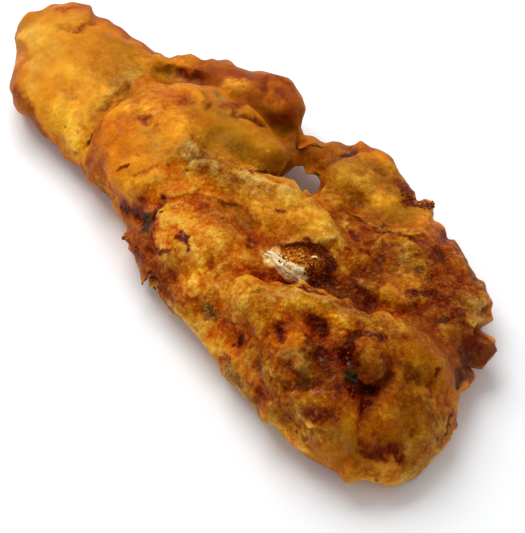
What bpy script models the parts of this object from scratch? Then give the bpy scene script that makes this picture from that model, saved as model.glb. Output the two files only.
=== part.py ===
"""A battered and fried chicken tender: one crusted strip of chicken that lies on the flat of its underside.

The strip runs along X. Its narrow smooth tail is at -X and its broad craggy head is at +X. The core is a lofted
strip, and the folds and bulges of the batter are lobes fused onto it. Dents and seams are then pressed into the
crust. A flap of batter on the +Y side leaves a small gap between itself and the strip.
"""

import math
from typing import NamedTuple

import bmesh
import bpy
import numpy as np
from mathutils import Matrix, Vector, noise

MM = 0.001
NODE_NAME = "chicken_tender"

# How finely the strip and its lobes are fused, and how many triangles the finished crust keeps
FUSE_VOXEL = 0.9
TRIANGLE_TARGET = 10600

# The crust is flat underneath up to this height, where it lay in the pan, in millimetres
SOLE_HEIGHT = 1.0

# Relief of the batter in millimetres: how far apart its creases, crags and pimples are, and how deep each is.
# It fades from the head to the smooth tail between the two places along X.
CREASE_SIZE, CREASE_DEPTH = 11.0, 1.3
CRAG_SIZE, CRAG_DEPTH = 6.0, 0.9
PIMPLE_SIZE, PIMPLE_DEPTH = 2.8, 0.5
BATTER_PUFF = 0.45
CREASE_SHARPNESS = 4
TAIL_ROUGHNESS = 0.3
SMOOTH_FROM, ROUGH_FROM = -42.0, 0.0

RING_POINTS = 48
STATION_STEPS = 90
UPPER_FULLNESS, LOWER_FULLNESS = 0.75, 0.9
LOBE_SUBDIVISIONS = 3
LOBE_FULLNESS = 2.4


class Station(NamedTuple):
    """One cross-section of the strip: where it lies along X, and its reach in Y and in Z, in millimetres."""

    x: float
    y_low: float
    y_high: float
    z_low: float
    z_high: float


class Lobe(NamedTuple):
    """A bulge of batter: its centre and its three radii in millimetres, and its turn about Z and tilt in degrees."""

    centre: tuple
    radii: tuple
    yaw: float = 0.0
    pitch: float = 0.0


class Press(NamedTuple):
    """A spot of the upper crust: its middle and reach in plan, and its height, negative for a dent, in millimetres."""

    middle: tuple
    reach: tuple
    height: float
    yaw: float = 0.0


class Seam(NamedTuple):
    """A line along the upper crust: its points in plan, its half width and height, negative for a groove, in mm."""

    points: tuple
    width: float
    height: float


STRIP = (
    Station(-67.8, -13.5, -8.5, 5.0, 9.0),
    Station(-66.0, -16.0, -5.2, 2.0, 12.8),
    Station(-62.0, -18.8, -0.5, 0.5, 14.8),
    Station(-56.0, -21.8, 2.2, 0.0, 15.5),
    Station(-50.0, -25.0, 3.4, 0.0, 15.5),
    Station(-43.0, -25.8, 4.8, 0.0, 15.5),
    Station(-36.0, -25.2, 6.0, 0.0, 15.0),
    Station(-28.0, -24.0, 9.0, 0.0, 15.0),
    Station(-16.0, -23.3, 9.0, 0.0, 15.0),
    Station(-7.0, -23.2, 7.0, 0.0, 14.5),
    Station(0.0, -26.0, 5.0, 0.0, 14.0),
    Station(10.0, -26.8, 7.0, 0.0, 14.0),
    Station(20.0, -26.6, 15.0, 0.0, 14.0),
    Station(30.0, -26.2, 22.0, 0.0, 13.5),
    Station(40.0, -26.0, 22.5, 0.0, 13.0),
    Station(50.0, -24.6, 17.5, 0.0, 13.0),
    Station(58.0, -22.0, 9.0, 0.0, 12.0),
    Station(64.0, -19.0, 2.5, 0.5, 10.5),
    Station(67.0, -15.4, -5.0, 1.5, 8.5),
    Station(68.6, -13.0, -9.0, 3.5, 6.5),
)

FOLDS = {
    "tail_top": Lobe((-51, -10.5, 8.5), (14, 11, 8)),
    "tail_corner": Lobe((-60, -6, 9.5), (4.5, 4, 4.5)),
    "tail_rim": Lobe((-44, -20, 7.5), (12, 4.8, 7.5), 2),
    "middle_fold": Lobe((-13, -9, 12), (16.5, 14, 8), -6),
    "middle_crest": Lobe((-12, 3.0, 13), (15.5, 6, 7.5), 12),
    "middle_left": Lobe((-17, -16.5, 8.5), (12.5, 6.5, 8), -2),
    "back_root": Lobe((-31, 7.5, 8), (9.5, 5.5, 7), 34),
    "back_ridge": Lobe((-20, 12, 8.5), (11.5, 7, 7.5), 14),
    "back_end": Lobe((-12.5, 15.8, 9), (7.5, 6.3, 8)),
    "centre_ridge": Lobe((1, -4, 13), (15, 5, 6), 22),
    "centre_mound": Lobe((15, -1, 11.5), (13.5, 8, 7.5), 8),
    "mound_rim": Lobe((13, 9, 7), (8, 5, 5.5), -10),
    "left_flank": Lobe((8, -15, 9.5), (18, 9.5, 7.5), -2),
    "left_low": Lobe((20, -18, 8), (13, 6.5, 7), 2),
    "head_slab": Lobe((47, -12, 9.5), (18, 12.5, 9), 4),
    "arch_left": Lobe((32, -13, 13), (9, 7.5, 7), 40),
    "arch_middle": Lobe((38, -8.5, 14), (9, 5.5, 6.5), 25),
    "arch_right": Lobe((49, -1.5, 12), (12, 5.5, 7), 28),
    "head_nose": Lobe((58, -9, 7.5), (9.5, 11, 7)),
    "nose_left": Lobe((54, -17, 10), (8, 4.5, 5), 14),
    "nose_right": Lobe((58, -6, 10.5), (7, 6, 5), -30),
    "head_left": Lobe((41, -20, 10), (8, 4.5, 5.5), 6),
    "right_flank": Lobe((36, 13, 7.5), (17, 10, 6.5)),
    "right_rim": Lobe((33, 21, 7), (13, 5, 6), -4),
    "right_low": Lobe((47, 12.5, 7), (8, 8, 7), -35),
    "right_hump": Lobe((40, 8, 9), (7, 4.5, 6), 20),
}

FLAP = {
    "flap": Lobe((9, 20.5, 8), (9.5, 7.8, 5)),
    "flap_outer": Lobe((20, 20.5, 7.5), (8.5, 6.8, 5)),
    "flap_bridge": Lobe((-2.5, 17, 8), (8, 4.5, 4.5)),
    "flap_root": Lobe((-5.5, 13.5, 7.5), (6.5, 5, 6)),
}

KNOBS = {
    "edge_knob_back": Lobe((45.5, 19.5, 7), (4.5, 4, 4.5)),
    "edge_knob_burnt": Lobe((53, 14.5, 6.5), (4.5, 4, 4.5), -35),
    "edge_knob_front": Lobe((63.5, -0.5, 5), (3, 3.5, 3.5)),
    "edge_knob_left": Lobe((32.5, -24, 6), (3.5, 2.2, 4)),
    "blister": Lobe((50.5, -6.5, 17), (4.4, 4.2, 3.2)),
    "blister_low": Lobe((43, -16, 16.5), (5, 4, 3)),
    "drip": Lobe((7.5, -25.5, 4.5), (3.5, 1.5, 1.6), -50, 25),
    "thorn": Lobe((22.5, 26, 9), (2.5, 1.3, 1.6), 60, -25),
}

# The gap between the flap and the strip runs down towards the back
GAP = Lobe((1.0, 12.7, 5), (16, 3.2, 2.0), -33, -49)

PRESSES = {
    "torn_hollow": Press((25.5, -4, 0), (6.5, 4.5), -3.0, 10),
    "crater": Press((40, -9, 0), (3.5, 3.2), -1.6),
}

SEAMS = {
    "valley": Seam(((-31, 1), (-22, 5), (-15, 6), (-7, 7), (-3, 9)), 2.5, -2.0),
    "tail_step": Seam(((-33, 1), (-31, -8), (-28, -16), (-23, -24)), 2.0, -1.5),
    "nose_valley": Seam(((50, -10.5), (57, -12), (64, -14)), 1.8, -1.8),
    "mound_front": Seam(((-2, -9), (6, -8), (12, -8), (19, -6)), 1.6, -1.2),
}


def smooth_between(knots, values, at):
    """A smooth curve through the values: cubic pieces whose slopes are those between each knot's neighbours."""
    slopes = np.gradient(values, knots)
    piece = np.clip(np.searchsorted(knots, at, side="right") - 1, 0, len(knots) - 2)
    span = knots[piece + 1] - knots[piece]
    t = (at - knots[piece]) / span
    start, end = values[piece], values[piece + 1]
    start_slope, end_slope = slopes[piece] * span, slopes[piece + 1] * span
    return (
        (2 * t**3 - 3 * t**2 + 1) * start
        + (t**3 - 2 * t**2 + t) * start_slope
        + (3 * t**2 - 2 * t**3) * end
        + (t**3 - t**2) * end_slope
    )


def strip_rings():
    """Rings of points of the strip's cross-sections, which shrink to a blunt end at each tip, in millimetres."""
    x, *sides = np.array(STRIP, float).T
    along = np.linspace(x[0], x[-1], STATION_STEPS)
    y_low, y_high, z_low, z_high = (smooth_between(x, side, along)[:, None] for side in sides)
    angles = np.linspace(0, 2 * math.pi, RING_POINTS, endpoint=False)
    fullness = np.where(np.sin(angles) > 0, UPPER_FULLNESS, LOWER_FULLNESS)
    across = np.sign(np.cos(angles)) * np.abs(np.cos(angles)) ** fullness
    upward = np.sign(np.sin(angles)) * np.abs(np.sin(angles)) ** fullness
    y = (y_low + y_high) / 2 + (y_high - y_low) / 2 * across
    z = (z_low + z_high) / 2 + (z_high - z_low) / 2 * upward
    return np.stack([np.broadcast_to(along[:, None], y.shape), y, z], axis=-1)


def add_strip(mesh):
    """Lofts the strip through its rings and closes its two tips."""
    rings = [[mesh.verts.new(point) for point in ring] for ring in strip_rings() * MM]
    for ring, following in zip(rings, rings[1:]):
        for i in range(RING_POINTS):
            j = (i + 1) % RING_POINTS
            mesh.faces.new((ring[i], ring[j], following[j], following[i]))
    mesh.faces.new(rings[0][::-1])
    mesh.faces.new(rings[-1])


def add_lobe(mesh, lobe):
    """Adds one bulge as a stretched and turned ball, fuller towards its corners than a plain ellipsoid."""
    ball = bmesh.ops.create_icosphere(mesh, subdivisions=LOBE_SUBDIVISIONS, radius=1.0)["verts"]
    place = (
        Matrix.Translation(Vector(lobe.centre) * MM)
        @ Matrix.Rotation(math.radians(lobe.yaw), 4, "Z")
        @ Matrix.Rotation(math.radians(lobe.pitch), 4, "Y")
        @ Matrix.Diagonal([*(Vector(lobe.radii) * MM), 1.0])
    )
    for vert in ball:
        swell = sum(abs(part) ** LOBE_FULLNESS for part in vert.co) ** (-1 / LOBE_FULLNESS)
        vert.co = place @ (vert.co * swell)


def link_mesh(name, mesh):
    """Makes an object of a bmesh, with all its faces pointing out."""
    bmesh.ops.recalc_face_normals(mesh, faces=mesh.faces)
    data = bpy.data.meshes.new(name)
    mesh.to_mesh(data)
    mesh.free()
    thing = bpy.data.objects.new(name, data)
    bpy.context.scene.collection.objects.link(thing)
    return thing


def settle_modifiers(thing):
    """Turns the object's modifiers into its mesh."""
    depsgraph = bpy.context.evaluated_depsgraph_get()
    finished = bpy.data.meshes.new_from_object(thing.evaluated_get(depsgraph))
    thing.modifiers.clear()
    thing.data = finished


def crust_material():
    """Golden brown fried batter, rough with a little oil on it."""
    material = bpy.data.materials.new("fried_crust")
    material.use_nodes = True
    surface = material.node_tree.nodes["Principled BSDF"]
    surface.inputs["Base Color"].default_value = (0.52, 0.22, 0.04, 1.0)
    surface.inputs["Roughness"].default_value = 0.5
    surface.inputs["Metallic"].default_value = 0.0
    return material


def press_rise(plan, press):
    """The rise of one pressed spot at each point in plan: a bell over an ellipse."""
    turn = math.radians(press.yaw)
    along = np.array([math.cos(turn), math.sin(turn)])
    across = np.array([-math.sin(turn), math.cos(turn)])
    offset = plan - np.array(press.middle[:2])
    return press.height * np.exp(-((offset @ along / press.reach[0]) ** 2) - (offset @ across / press.reach[1]) ** 2)


def seam_rise(plan, seam):
    """The rise of one seam at each point in plan: a bell over the distance to the nearest of its straight runs."""
    distance = np.full(len(plan), np.inf)
    points = np.array(seam.points, float)
    for start, end in zip(points, points[1:]):
        run = end - start
        share = np.clip((plan - start) @ run / (run @ run), 0, 1)
        distance = np.minimum(distance, np.linalg.norm(plan - start - share[:, None] * run, axis=1))
    return seam.height * np.exp(-((distance / seam.width) ** 2))


def batter_rise(point):
    """The rise of the batter's relief at one point, in mm: thin creases, crags and pimples, fading to the tail."""
    crease = (1 - abs(noise.noise(point / CREASE_SIZE))) ** CREASE_SHARPNESS
    crag, pimple = noise.noise(point / CRAG_SIZE), noise.noise(point / PIMPLE_SIZE)
    share = min(max((point.x - SMOOTH_FROM) / (ROUGH_FROM - SMOOTH_FROM), 0), 1)
    roughness = TAIL_ROUGHNESS + (1 - TAIL_ROUGHNESS) * share
    return roughness * (BATTER_PUFF + CRAG_DEPTH * crag + PIMPLE_DEPTH * pimple - CREASE_DEPTH * crease)


def press_crust(tender):
    """Moves the crust along its normals by the batter's relief, and its upper side by all presses and seams."""
    mesh = tender.data
    points, normals = (np.empty(len(mesh.vertices) * 3) for _ in range(2))
    mesh.vertices.foreach_get("co", points)
    mesh.vertices.foreach_get("normal", normals)
    points, normals = points.reshape(-1, 3) / MM, normals.reshape(-1, 3)
    rise = np.array([batter_rise(Vector(point)) for point in points])
    pressed = sum(press_rise(points[:, :2], press) for press in PRESSES.values())
    pressed = pressed + sum(seam_rise(points[:, :2], seam) for seam in SEAMS.values())
    points += normals * rise[:, None]
    points[:, 2] += pressed * np.clip(normals[:, 2], 0, 1)
    mesh.vertices.foreach_set("co", points.ravel() * MM)
    mesh.update()


def fuse_skin(tender):
    """Makes one closed skin of everything that overlaps."""
    fuse = tender.modifiers.new("fuse", "REMESH")
    fuse.mode = "VOXEL"
    fuse.voxel_size = FUSE_VOXEL * MM
    settle_modifiers(tender)


def cut_away(tender, cutter, solver="EXACT"):
    """Subtracts the cutter from the piece and removes the cutter."""
    cut = tender.modifiers.new(cutter.name, "BOOLEAN")
    cut.operation = "DIFFERENCE"
    cut.solver = solver
    cut.object = cutter
    settle_modifiers(tender)
    bpy.data.objects.remove(cutter)


def gap_cutter():
    """The space between the flap and the strip."""
    mesh = bmesh.new()
    add_lobe(mesh, GAP)
    return link_mesh("gap", mesh)


def pan_cutter():
    """A block whose top is the level that the crust lay on, wider than the piece."""
    mesh = bmesh.new()
    depth, width = 20 * MM, 200 * MM
    place = Matrix.Translation((0, 0, SOLE_HEIGHT * MM - depth / 2)) @ Matrix.Diagonal([width, width, depth, 1.0])
    bmesh.ops.create_cube(mesh, size=1.0, matrix=place)
    return link_mesh("pan", mesh)


def centre_on_origin(tender):
    """Moves the mesh so that the origin is under the middle of its box, at the level of its flat underside."""
    corners = np.array([vert.co for vert in tender.data.vertices])
    low, high = corners.min(axis=0), corners.max(axis=0)
    middle = (low + high) / 2
    tender.data.transform(Matrix.Translation((-middle[0], -middle[1], -low[2])))


def build_tender():
    """Makes the piece: strip, folds, flap and knobs fused, pressed, roughened, thinned out and set on its underside."""
    mesh = bmesh.new()
    add_strip(mesh)
    for lobe in (*FOLDS.values(), *FLAP.values(), *KNOBS.values()):
        add_lobe(mesh, lobe)
    tender = link_mesh(NODE_NAME, mesh)

    fuse_skin(tender)
    cut_away(tender, gap_cutter())
    soften = tender.modifiers.new("soften", "SMOOTH")
    soften.factor = 0.5
    soften.iterations = 5
    settle_modifiers(tender)
    press_crust(tender)
    fuse_skin(tender)

    tender.data.calc_loop_triangles()
    thin = tender.modifiers.new("thin", "DECIMATE")
    thin.ratio = TRIANGLE_TARGET / len(tender.data.loop_triangles)
    settle_modifiers(tender)
    # The thinned skin crosses itself in places as fine as its triangles, which the exact solver doesn't take
    cut_away(tender, pan_cutter(), solver="MANIFOLD")
    centre_on_origin(tender)
    tender.data.materials.clear()
    tender.data.materials.append(crust_material())
    tender.data.shade_smooth()


def main():
    for old in list(bpy.data.objects):
        bpy.data.objects.remove(old)
    build_tender()


main()
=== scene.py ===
"""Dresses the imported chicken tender: its fried crust, torn meat, crumbs, plain floor, light and camera.

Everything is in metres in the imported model's own frame. Sizes of the batter are in millimetres where a name
says so, and spots of the crust are given in pixels of the photograph, which is 525 by 533.
"""

import logging
from dataclasses import dataclass, field, fields
from enum import Enum
from typing import TypeVar

import bmesh
import bpy
import numpy as np
from mathutils import Matrix, Vector
from mathutils.bvhtree import BVHTree


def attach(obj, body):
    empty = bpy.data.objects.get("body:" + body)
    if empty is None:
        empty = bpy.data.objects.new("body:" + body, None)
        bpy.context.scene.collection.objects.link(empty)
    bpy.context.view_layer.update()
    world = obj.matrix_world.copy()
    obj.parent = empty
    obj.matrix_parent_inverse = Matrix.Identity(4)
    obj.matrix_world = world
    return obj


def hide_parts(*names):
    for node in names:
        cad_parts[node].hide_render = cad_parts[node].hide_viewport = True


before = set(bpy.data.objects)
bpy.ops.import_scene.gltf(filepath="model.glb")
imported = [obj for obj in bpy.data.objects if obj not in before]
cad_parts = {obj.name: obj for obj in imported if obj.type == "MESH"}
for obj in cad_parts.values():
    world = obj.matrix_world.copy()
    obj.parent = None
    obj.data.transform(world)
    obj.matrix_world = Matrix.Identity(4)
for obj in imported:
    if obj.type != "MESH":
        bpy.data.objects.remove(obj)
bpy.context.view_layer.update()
LOG = logging.getLogger("tender")
MM = 0.001
NODE = "chicken_tender"
BODY = "root"
PHOTO_WIDTH, PHOTO_HEIGHT = 525, 533
HASH_FACTORS = (0x9E3779B97F4A7C15, 0xC2B2AE3D27D4EB4F, 0x165667B19E3779F9)
HASH_FINISH = 0xBF58476D1CE4E5B9

Array = np.ndarray
Faces = list[tuple[int, ...]]
Pixel = tuple[float, float]
Colour = tuple[float, float, float, float]
Socket = bpy.types.NodeSocket
Kind = TypeVar("Kind")


def fade(low: float, high: float, value: Array) -> Array:
    """Smooth step from 0 to 1: three t squared less two t cubed, where t runs from 0 at low to 1 at high.

    Args:
        low: value where the result is 0.
        high: value where the result is 1. It may lie below low, and the step then falls.
        value: numbers to grade.

    Returns:
        One number from 0 to 1 for each value.
    """
    t = np.clip((value - low) / (high - low), 0.0, 1.0)
    return t * t * (3.0 - 2.0 * t)


def unit(rows: Array) -> Array:
    """Each row over its length."""
    return rows / np.linalg.norm(rows, axis=1, keepdims=True)


def dots(first: Array, second: Array) -> Array:
    """Dot product of each row with the other array's same row."""
    return np.einsum("ij,ij->i", first, second)


def table(kind: type[Kind], *rows: tuple) -> tuple[Kind, ...]:
    """Makes one object from each short row.

    Args:
        kind: what the rows describe.
        rows: each has the values before the path in the class's order, then across and down for each of the
            path's pixels, and then the form where it isn't the usual one.

    Returns:
        The objects, in the rows' order.
    """
    start = [one.name for one in fields(kind)].index("path")
    made = []
    for row in rows:
        end = len(row) - isinstance(row[-1], Form)
        path = tuple(zip(row[start:end:2], row[start + 1:end:2]))
        made.append(kind(*row[:start], path, *row[end:]))
    return tuple(made)


def link(name: str, data: bpy.types.ID) -> bpy.types.Object:
    """Makes the object of a mesh, camera or light, and links it to the scene."""
    made = bpy.data.objects.new(name, data)
    bpy.context.scene.collection.objects.link(made)
    return made


def carry(piece: bpy.types.Object) -> bpy.types.Object:
    """Lets a piece ride the tender's body."""
    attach(piece, BODY)
    return piece


def dress(mesh: bpy.types.Mesh, material: bpy.types.Material) -> None:
    """Gives a mesh one material and smooth shading."""
    mesh.materials.clear()
    mesh.materials.append(material)
    mesh.polygons.foreach_set("use_smooth", np.ones(len(mesh.polygons), bool))


def store(mesh: bpy.types.Mesh, colours: Array, grit: Array, glaze: Array) -> None:
    """Keeps what the batter's finish reads at each vertex.

    Args:
        mesh: the mesh that holds it.
        colours: linear red, green and blue, one row a vertex.
        grit: how rough the batter is, one number a vertex.
        glaze: how browned and shiny it is, one number a vertex.
    """
    # The vertex colour holds painted highlights and painted shade besides the crust's own colours.
    colour_with_painted_light = np.ones((len(colours), 4), np.float32)
    colour_with_painted_light[:, :3] = colours
    mesh.color_attributes.new("colour_with_painted_light", "FLOAT_COLOR", "POINT").data.foreach_set("color", colour_with_painted_light.ravel())
    for name, values in (("grit", grit), ("glaze", glaze)):
        mesh.attributes.new(name, "FLOAT", "POINT").data.foreach_set("value", values.astype(np.float32))


class Tone(Enum):
    """Colours of fried batter and meat, as linear red, green and blue."""

    CREAM = (0.90, 0.74, 0.42)
    PALE = (0.78, 0.43, 0.085)
    SAND = (0.4232, 0.2021, 0.02925)
    SUNNY = (0.86, 0.42, 0.024)
    GOLD = (0.66, 0.255, 0.013)
    AMBER = (0.54, 0.150, 0.0035)
    HONEY = (0.45, 0.165, 0.0048)
    OCHRE = (0.29, 0.097, 0.0032)
    OLIVE = (0.2024, 0.0903, 0.0143)
    SAGE = (0.276, 0.1419, 0.0325)
    ORANGE = (0.46, 0.092, 0.0024)
    RUSSET = (0.235, 0.036, 0.0028)
    BROWN = (0.165, 0.038, 0.0050)
    MAROON = (0.092, 0.0085, 0.0028)
    CHAR = (0.045, 0.014, 0.007)
    SOOT = (0.014, 0.013, 0.012)
    # Grey of ash-like spots, and also of painted grey highlights.
    ASH = (0.17, 0.12, 0.085)

    def rgb(self) -> Array:
        """The colour as an array."""
        return np.array(self.value)


CREAM, PALE, SAND, SUNNY, GOLD, AMBER, HONEY, OCHRE, *DULL_TONES = Tone
OLIVE, SAGE, ORANGE, RUSSET, BROWN, MAROON, CHAR, SOOT, ASH = DULL_TONES


class Palette(Enum):
    """Tones that a cluster's crumbs are drawn from. With none, they take the crust's own colour."""

    DARK = (MAROON, MAROON, MAROON, RUSSET, CHAR)
    RED = (RUSSET, ORANGE, MAROON)
    # The pale tones here give light crumbs and, in part, painted glints on the torn spot.
    SPARK = (SUNNY, CREAM, GOLD, RUSSET, PALE, MAROON, ORANGE)
    WINE = (MAROON, MAROON, RUSSET, RUSSET)
    OWN = ()


DARK, RED, SPARK, WINE, OWN = Palette


class Form(Enum):
    """How a mark or a lobe fades from its heart to its reach.

    Soft falls all the way and firm holds to half of the reach. A ledge is high on the right of its path.
    """

    SOFT = "soft"
    FIRM = "firm"
    LEDGE = "ledge"

    def weight(self, share: Array) -> Array:
        """Strength from 1 to 0 at a share of the reach, by a smooth step that starts at half where firm."""
        return fade(1.0, 0.5 if self is Form.FIRM else 0.0, share)


SOFT, FIRM, LEDGE = Form


@dataclass(frozen=True)
class Mark:
    """A spot or streak that the photograph shows at one place of the crust.

    Attributes:
        tone: colour that it lays on the crust; some marks use it to paint highlights and shade.
        reach: pixels from its path to where it has faded out.
        strength: share of the tone at its heart.
        lift: how much it raises the crust at its heart, or sinks it where negative, from about -1 to 1.
        path: pixels of the photograph that it runs through.
        form: how it fades.
    """

    tone: Tone
    reach: float
    strength: float
    lift: float
    path: tuple[Pixel, ...]
    form: Form = SOFT


@dataclass(frozen=True)
class Patch:
    """An amount that is laid over part of the crust, such as millimetres towards the lens or more roughness.

    Attributes:
        amount: how much at its heart.
        reach: pixels from its path to where it has faded out.
        path: pixels of the photograph that it runs through.
        form: how it fades.
    """

    amount: float
    reach: float
    path: tuple[Pixel, ...]
    form: Form = SOFT


@dataclass(frozen=True)
class Pull:
    """A place of the rim that is drawn out or in, level with the floor, as the photograph's outline runs.

    Attributes:
        x: pixel across on the crust that moves.
        y: pixel down on the crust that moves.
        right: pixels that it moves to the right.
        down: pixels that it moves down.
        reach: pixels from it to where nothing moves.
    """

    x: float
    y: float
    right: float
    down: float
    reach: float


@dataclass(frozen=True)
class Cluster:
    """Crumbs of one kind at one place of the crust.

    Attributes:
        palette: tones that they are drawn from.
        count: how many there are.
        least_mm: least radius.
        most_mm: greatest radius.
        reach: pixels from the path to where they end.
        path: pixels of the photograph that they lie along.
    """

    palette: Palette
    count: int
    least_mm: float
    most_mm: float
    reach: float
    path: tuple[Pixel, ...]


@dataclass(frozen=True)
class Fibre:
    """One strand of the meat that shows through the torn crust.

    Attributes:
        width: its width in pixels, at its middle.
        path: pixels of the photograph that it runs through.
    """

    width: float
    path: tuple[Pixel, ...]


@dataclass(frozen=True)
class Bumps:
    """One sort of unevenness of the batter.

    Attributes:
        size_mm: distance from one bump to the next.
        height_mm: how far the bumps stand out, or pits sink in.
    """

    size_mm: float
    height_mm: float


@dataclass(frozen=True)
class NoiseField:
    """Repeatable solid noise for whole arrays of points.

    Attributes:
        seed: number that fixes the pattern.
    """

    seed: int

    def slopes(self) -> Array:
        """Table of 256 unit vectors, evenly spread in direction."""
        return unit(np.random.default_rng(self.seed).normal(size=(256, 3)))

    def code(self, cells: Array) -> Array:
        """Scrambles cell corners, whole numbers three a row, into one unsigned code a row."""
        keys = cells.astype(np.int64).astype(np.uint64)
        mixed = np.bitwise_xor.reduce(keys * np.array(HASH_FACTORS, np.uint64), axis=1)
        mixed ^= np.uint64(self.seed * 7919 + 17)
        mixed ^= mixed >> np.uint64(31)
        mixed *= np.uint64(HASH_FINISH)
        return mixed ^ mixed >> np.uint64(29)

    def waves(self, points: Array, size: float) -> Array:
        """Gradient noise: slopes at the eight corners of each cell, blended by a quintic step.

        Args:
            points: places, three numbers a row.
            size: edge of a cell, in the points' unit.

        Returns:
            About -1 to 1 for each point.
        """
        place = points / size
        corner = np.floor(place)
        inside = place - corner
        ease = inside ** 3 * (inside * (inside * 6.0 - 15.0) + 10.0)
        slopes = self.slopes()
        total = np.zeros(len(points))
        for step in np.ndindex(2, 2, 2):
            offset = np.array(step, float)
            slope = slopes[(self.code(corner + offset) & np.uint64(255)).astype(int)]
            share = np.prod(np.where(offset > 0.5, ease, 1.0 - ease), axis=1)
            total += share * dots(slope, inside - offset)
        return total * 1.6

    def layers(self, points: Array, size: float, octaves: int = 3) -> Array:
        """Sum of waves, each octave half the size and strength of the one before, over the sum of strengths.

        Args:
            points: places, three numbers a row.
            size: cell edge of the widest waves.
            octaves: how many sizes are added.

        Returns:
            About -1 to 1 for each point.
        """
        strengths = [0.5 ** level for level in range(octaves)]
        waves = [NoiseField(self.seed + 31 * level).waves(points, size * strength) * strength
                 for level, strength in enumerate(strengths)]
        return np.sum(waves, axis=0) / sum(strengths) * 1.5

    def ridges(self, points: Array, size: float, octaves: int = 2) -> Array:
        """Sharp crests: one less the absolute value of the waves, squared, so 1 on a crest and 0 between."""
        return (1.0 - np.minimum(np.abs(self.layers(points, size, octaves)) * 1.6, 1.0)) ** 2

    def warp(self, points: Array, size: float, amount: float) -> Array:
        """Points moved by three unlike wave patterns, which makes edges wander."""
        moves = [NoiseField(self.seed + 101 * (axis + 1)).waves(points, size) for axis in range(3)]
        return points + amount * np.stack(moves, axis=1)

    def cells(self, points: Array, size: float) -> tuple[Array, Array, Array]:
        """Distances to the two nearest of the points that are scattered one a cell.

        Args:
            points: places, three numbers a row.
            size: edge of a cell.

        Returns:
            Nearest distance, second distance, both over size, and a number from 0 to 1 that one cell shares.
        """
        place = points / size
        corner = np.floor(place)
        nearest = np.full(len(points), 9.0)
        second = np.full(len(points), 9.0)
        draw = np.zeros(len(points))
        for step in np.ndindex(3, 3, 3):
            cell = corner + (np.array(step, float) - 1.0)
            code = self.code(cell)
            parts = [((code >> np.uint64(shift)) & np.uint64(1023)).astype(float) / 1023.0
                     for shift in (0, 10, 20, 30)]
            gap = np.linalg.norm(cell + np.stack(parts[:3], axis=1) - place, axis=1)
            closer = gap < nearest
            second = np.where(closer, nearest, np.minimum(second, gap))
            draw = np.where(closer, parts[3], draw)
            nearest = np.where(closer, gap, nearest)
        return nearest, second, draw


@dataclass(frozen=True)
class ShellMesh:
    """Arrays that stand for a mesh while it is shaped.

    Attributes:
        points: places of its vertices, in metres.
        edges: pairs of vertices that share an edge.
        mesh: the Blender mesh that holds its faces.
    """

    points: Array
    edges: Array
    mesh: bpy.types.Mesh

    @classmethod
    def of(cls, mesh: bpy.types.Mesh) -> "ShellMesh":
        """Reads a Blender mesh into arrays."""
        points = np.empty(len(mesh.vertices) * 3)
        mesh.vertices.foreach_get("co", points)
        edges = np.empty(len(mesh.edges) * 2, np.int32)
        mesh.edges.foreach_get("vertices", edges)
        return cls(points.reshape(-1, 3), edges.reshape(-1, 2), mesh)

    def moved(self, points: Array) -> "ShellMesh":
        """Writes new places to the mesh and returns arrays that match it."""
        self.mesh.vertices.foreach_set("co", np.ascontiguousarray(points, dtype=np.float32).ravel())
        self.mesh.update()
        return ShellMesh(points, self.edges, self.mesh)

    def normals(self) -> Array:
        """Unit vertex normals."""
        out = np.empty(len(self.points) * 3, np.float32)
        self.mesh.vertex_normals.foreach_get("vector", out)
        return out.reshape(-1, 3).astype(float)

    def tree(self) -> BVHTree:
        """The surface as a tree that rays are cast at."""
        return BVHTree.FromPolygons(self.points.tolist(), [list(f.vertices) for f in self.mesh.polygons])

    def neighbour_mean(self, values: Array) -> Array:
        """Mean of each vertex's neighbours along the edges, for values of one row a vertex."""
        count = len(self.points)
        first, second = self.edges[:, 0], self.edges[:, 1]
        valence = np.bincount(first, minlength=count) + np.bincount(second, minlength=count)
        flat = values.reshape(count, -1)
        sums = [np.bincount(first, flat[second, c], count) + np.bincount(second, flat[first, c], count)
                for c in range(flat.shape[1])]
        return (np.stack(sums, axis=1) / np.maximum(valence, 1)[:, None]).reshape(values.shape)

    def relaxed(self, values: Array, rounds: int) -> Array:
        """Values after so many rounds of half a step towards the neighbours' mean."""
        for _ in range(rounds):
            values = 0.5 * values + 0.5 * self.neighbour_mean(values)
        return values


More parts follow.
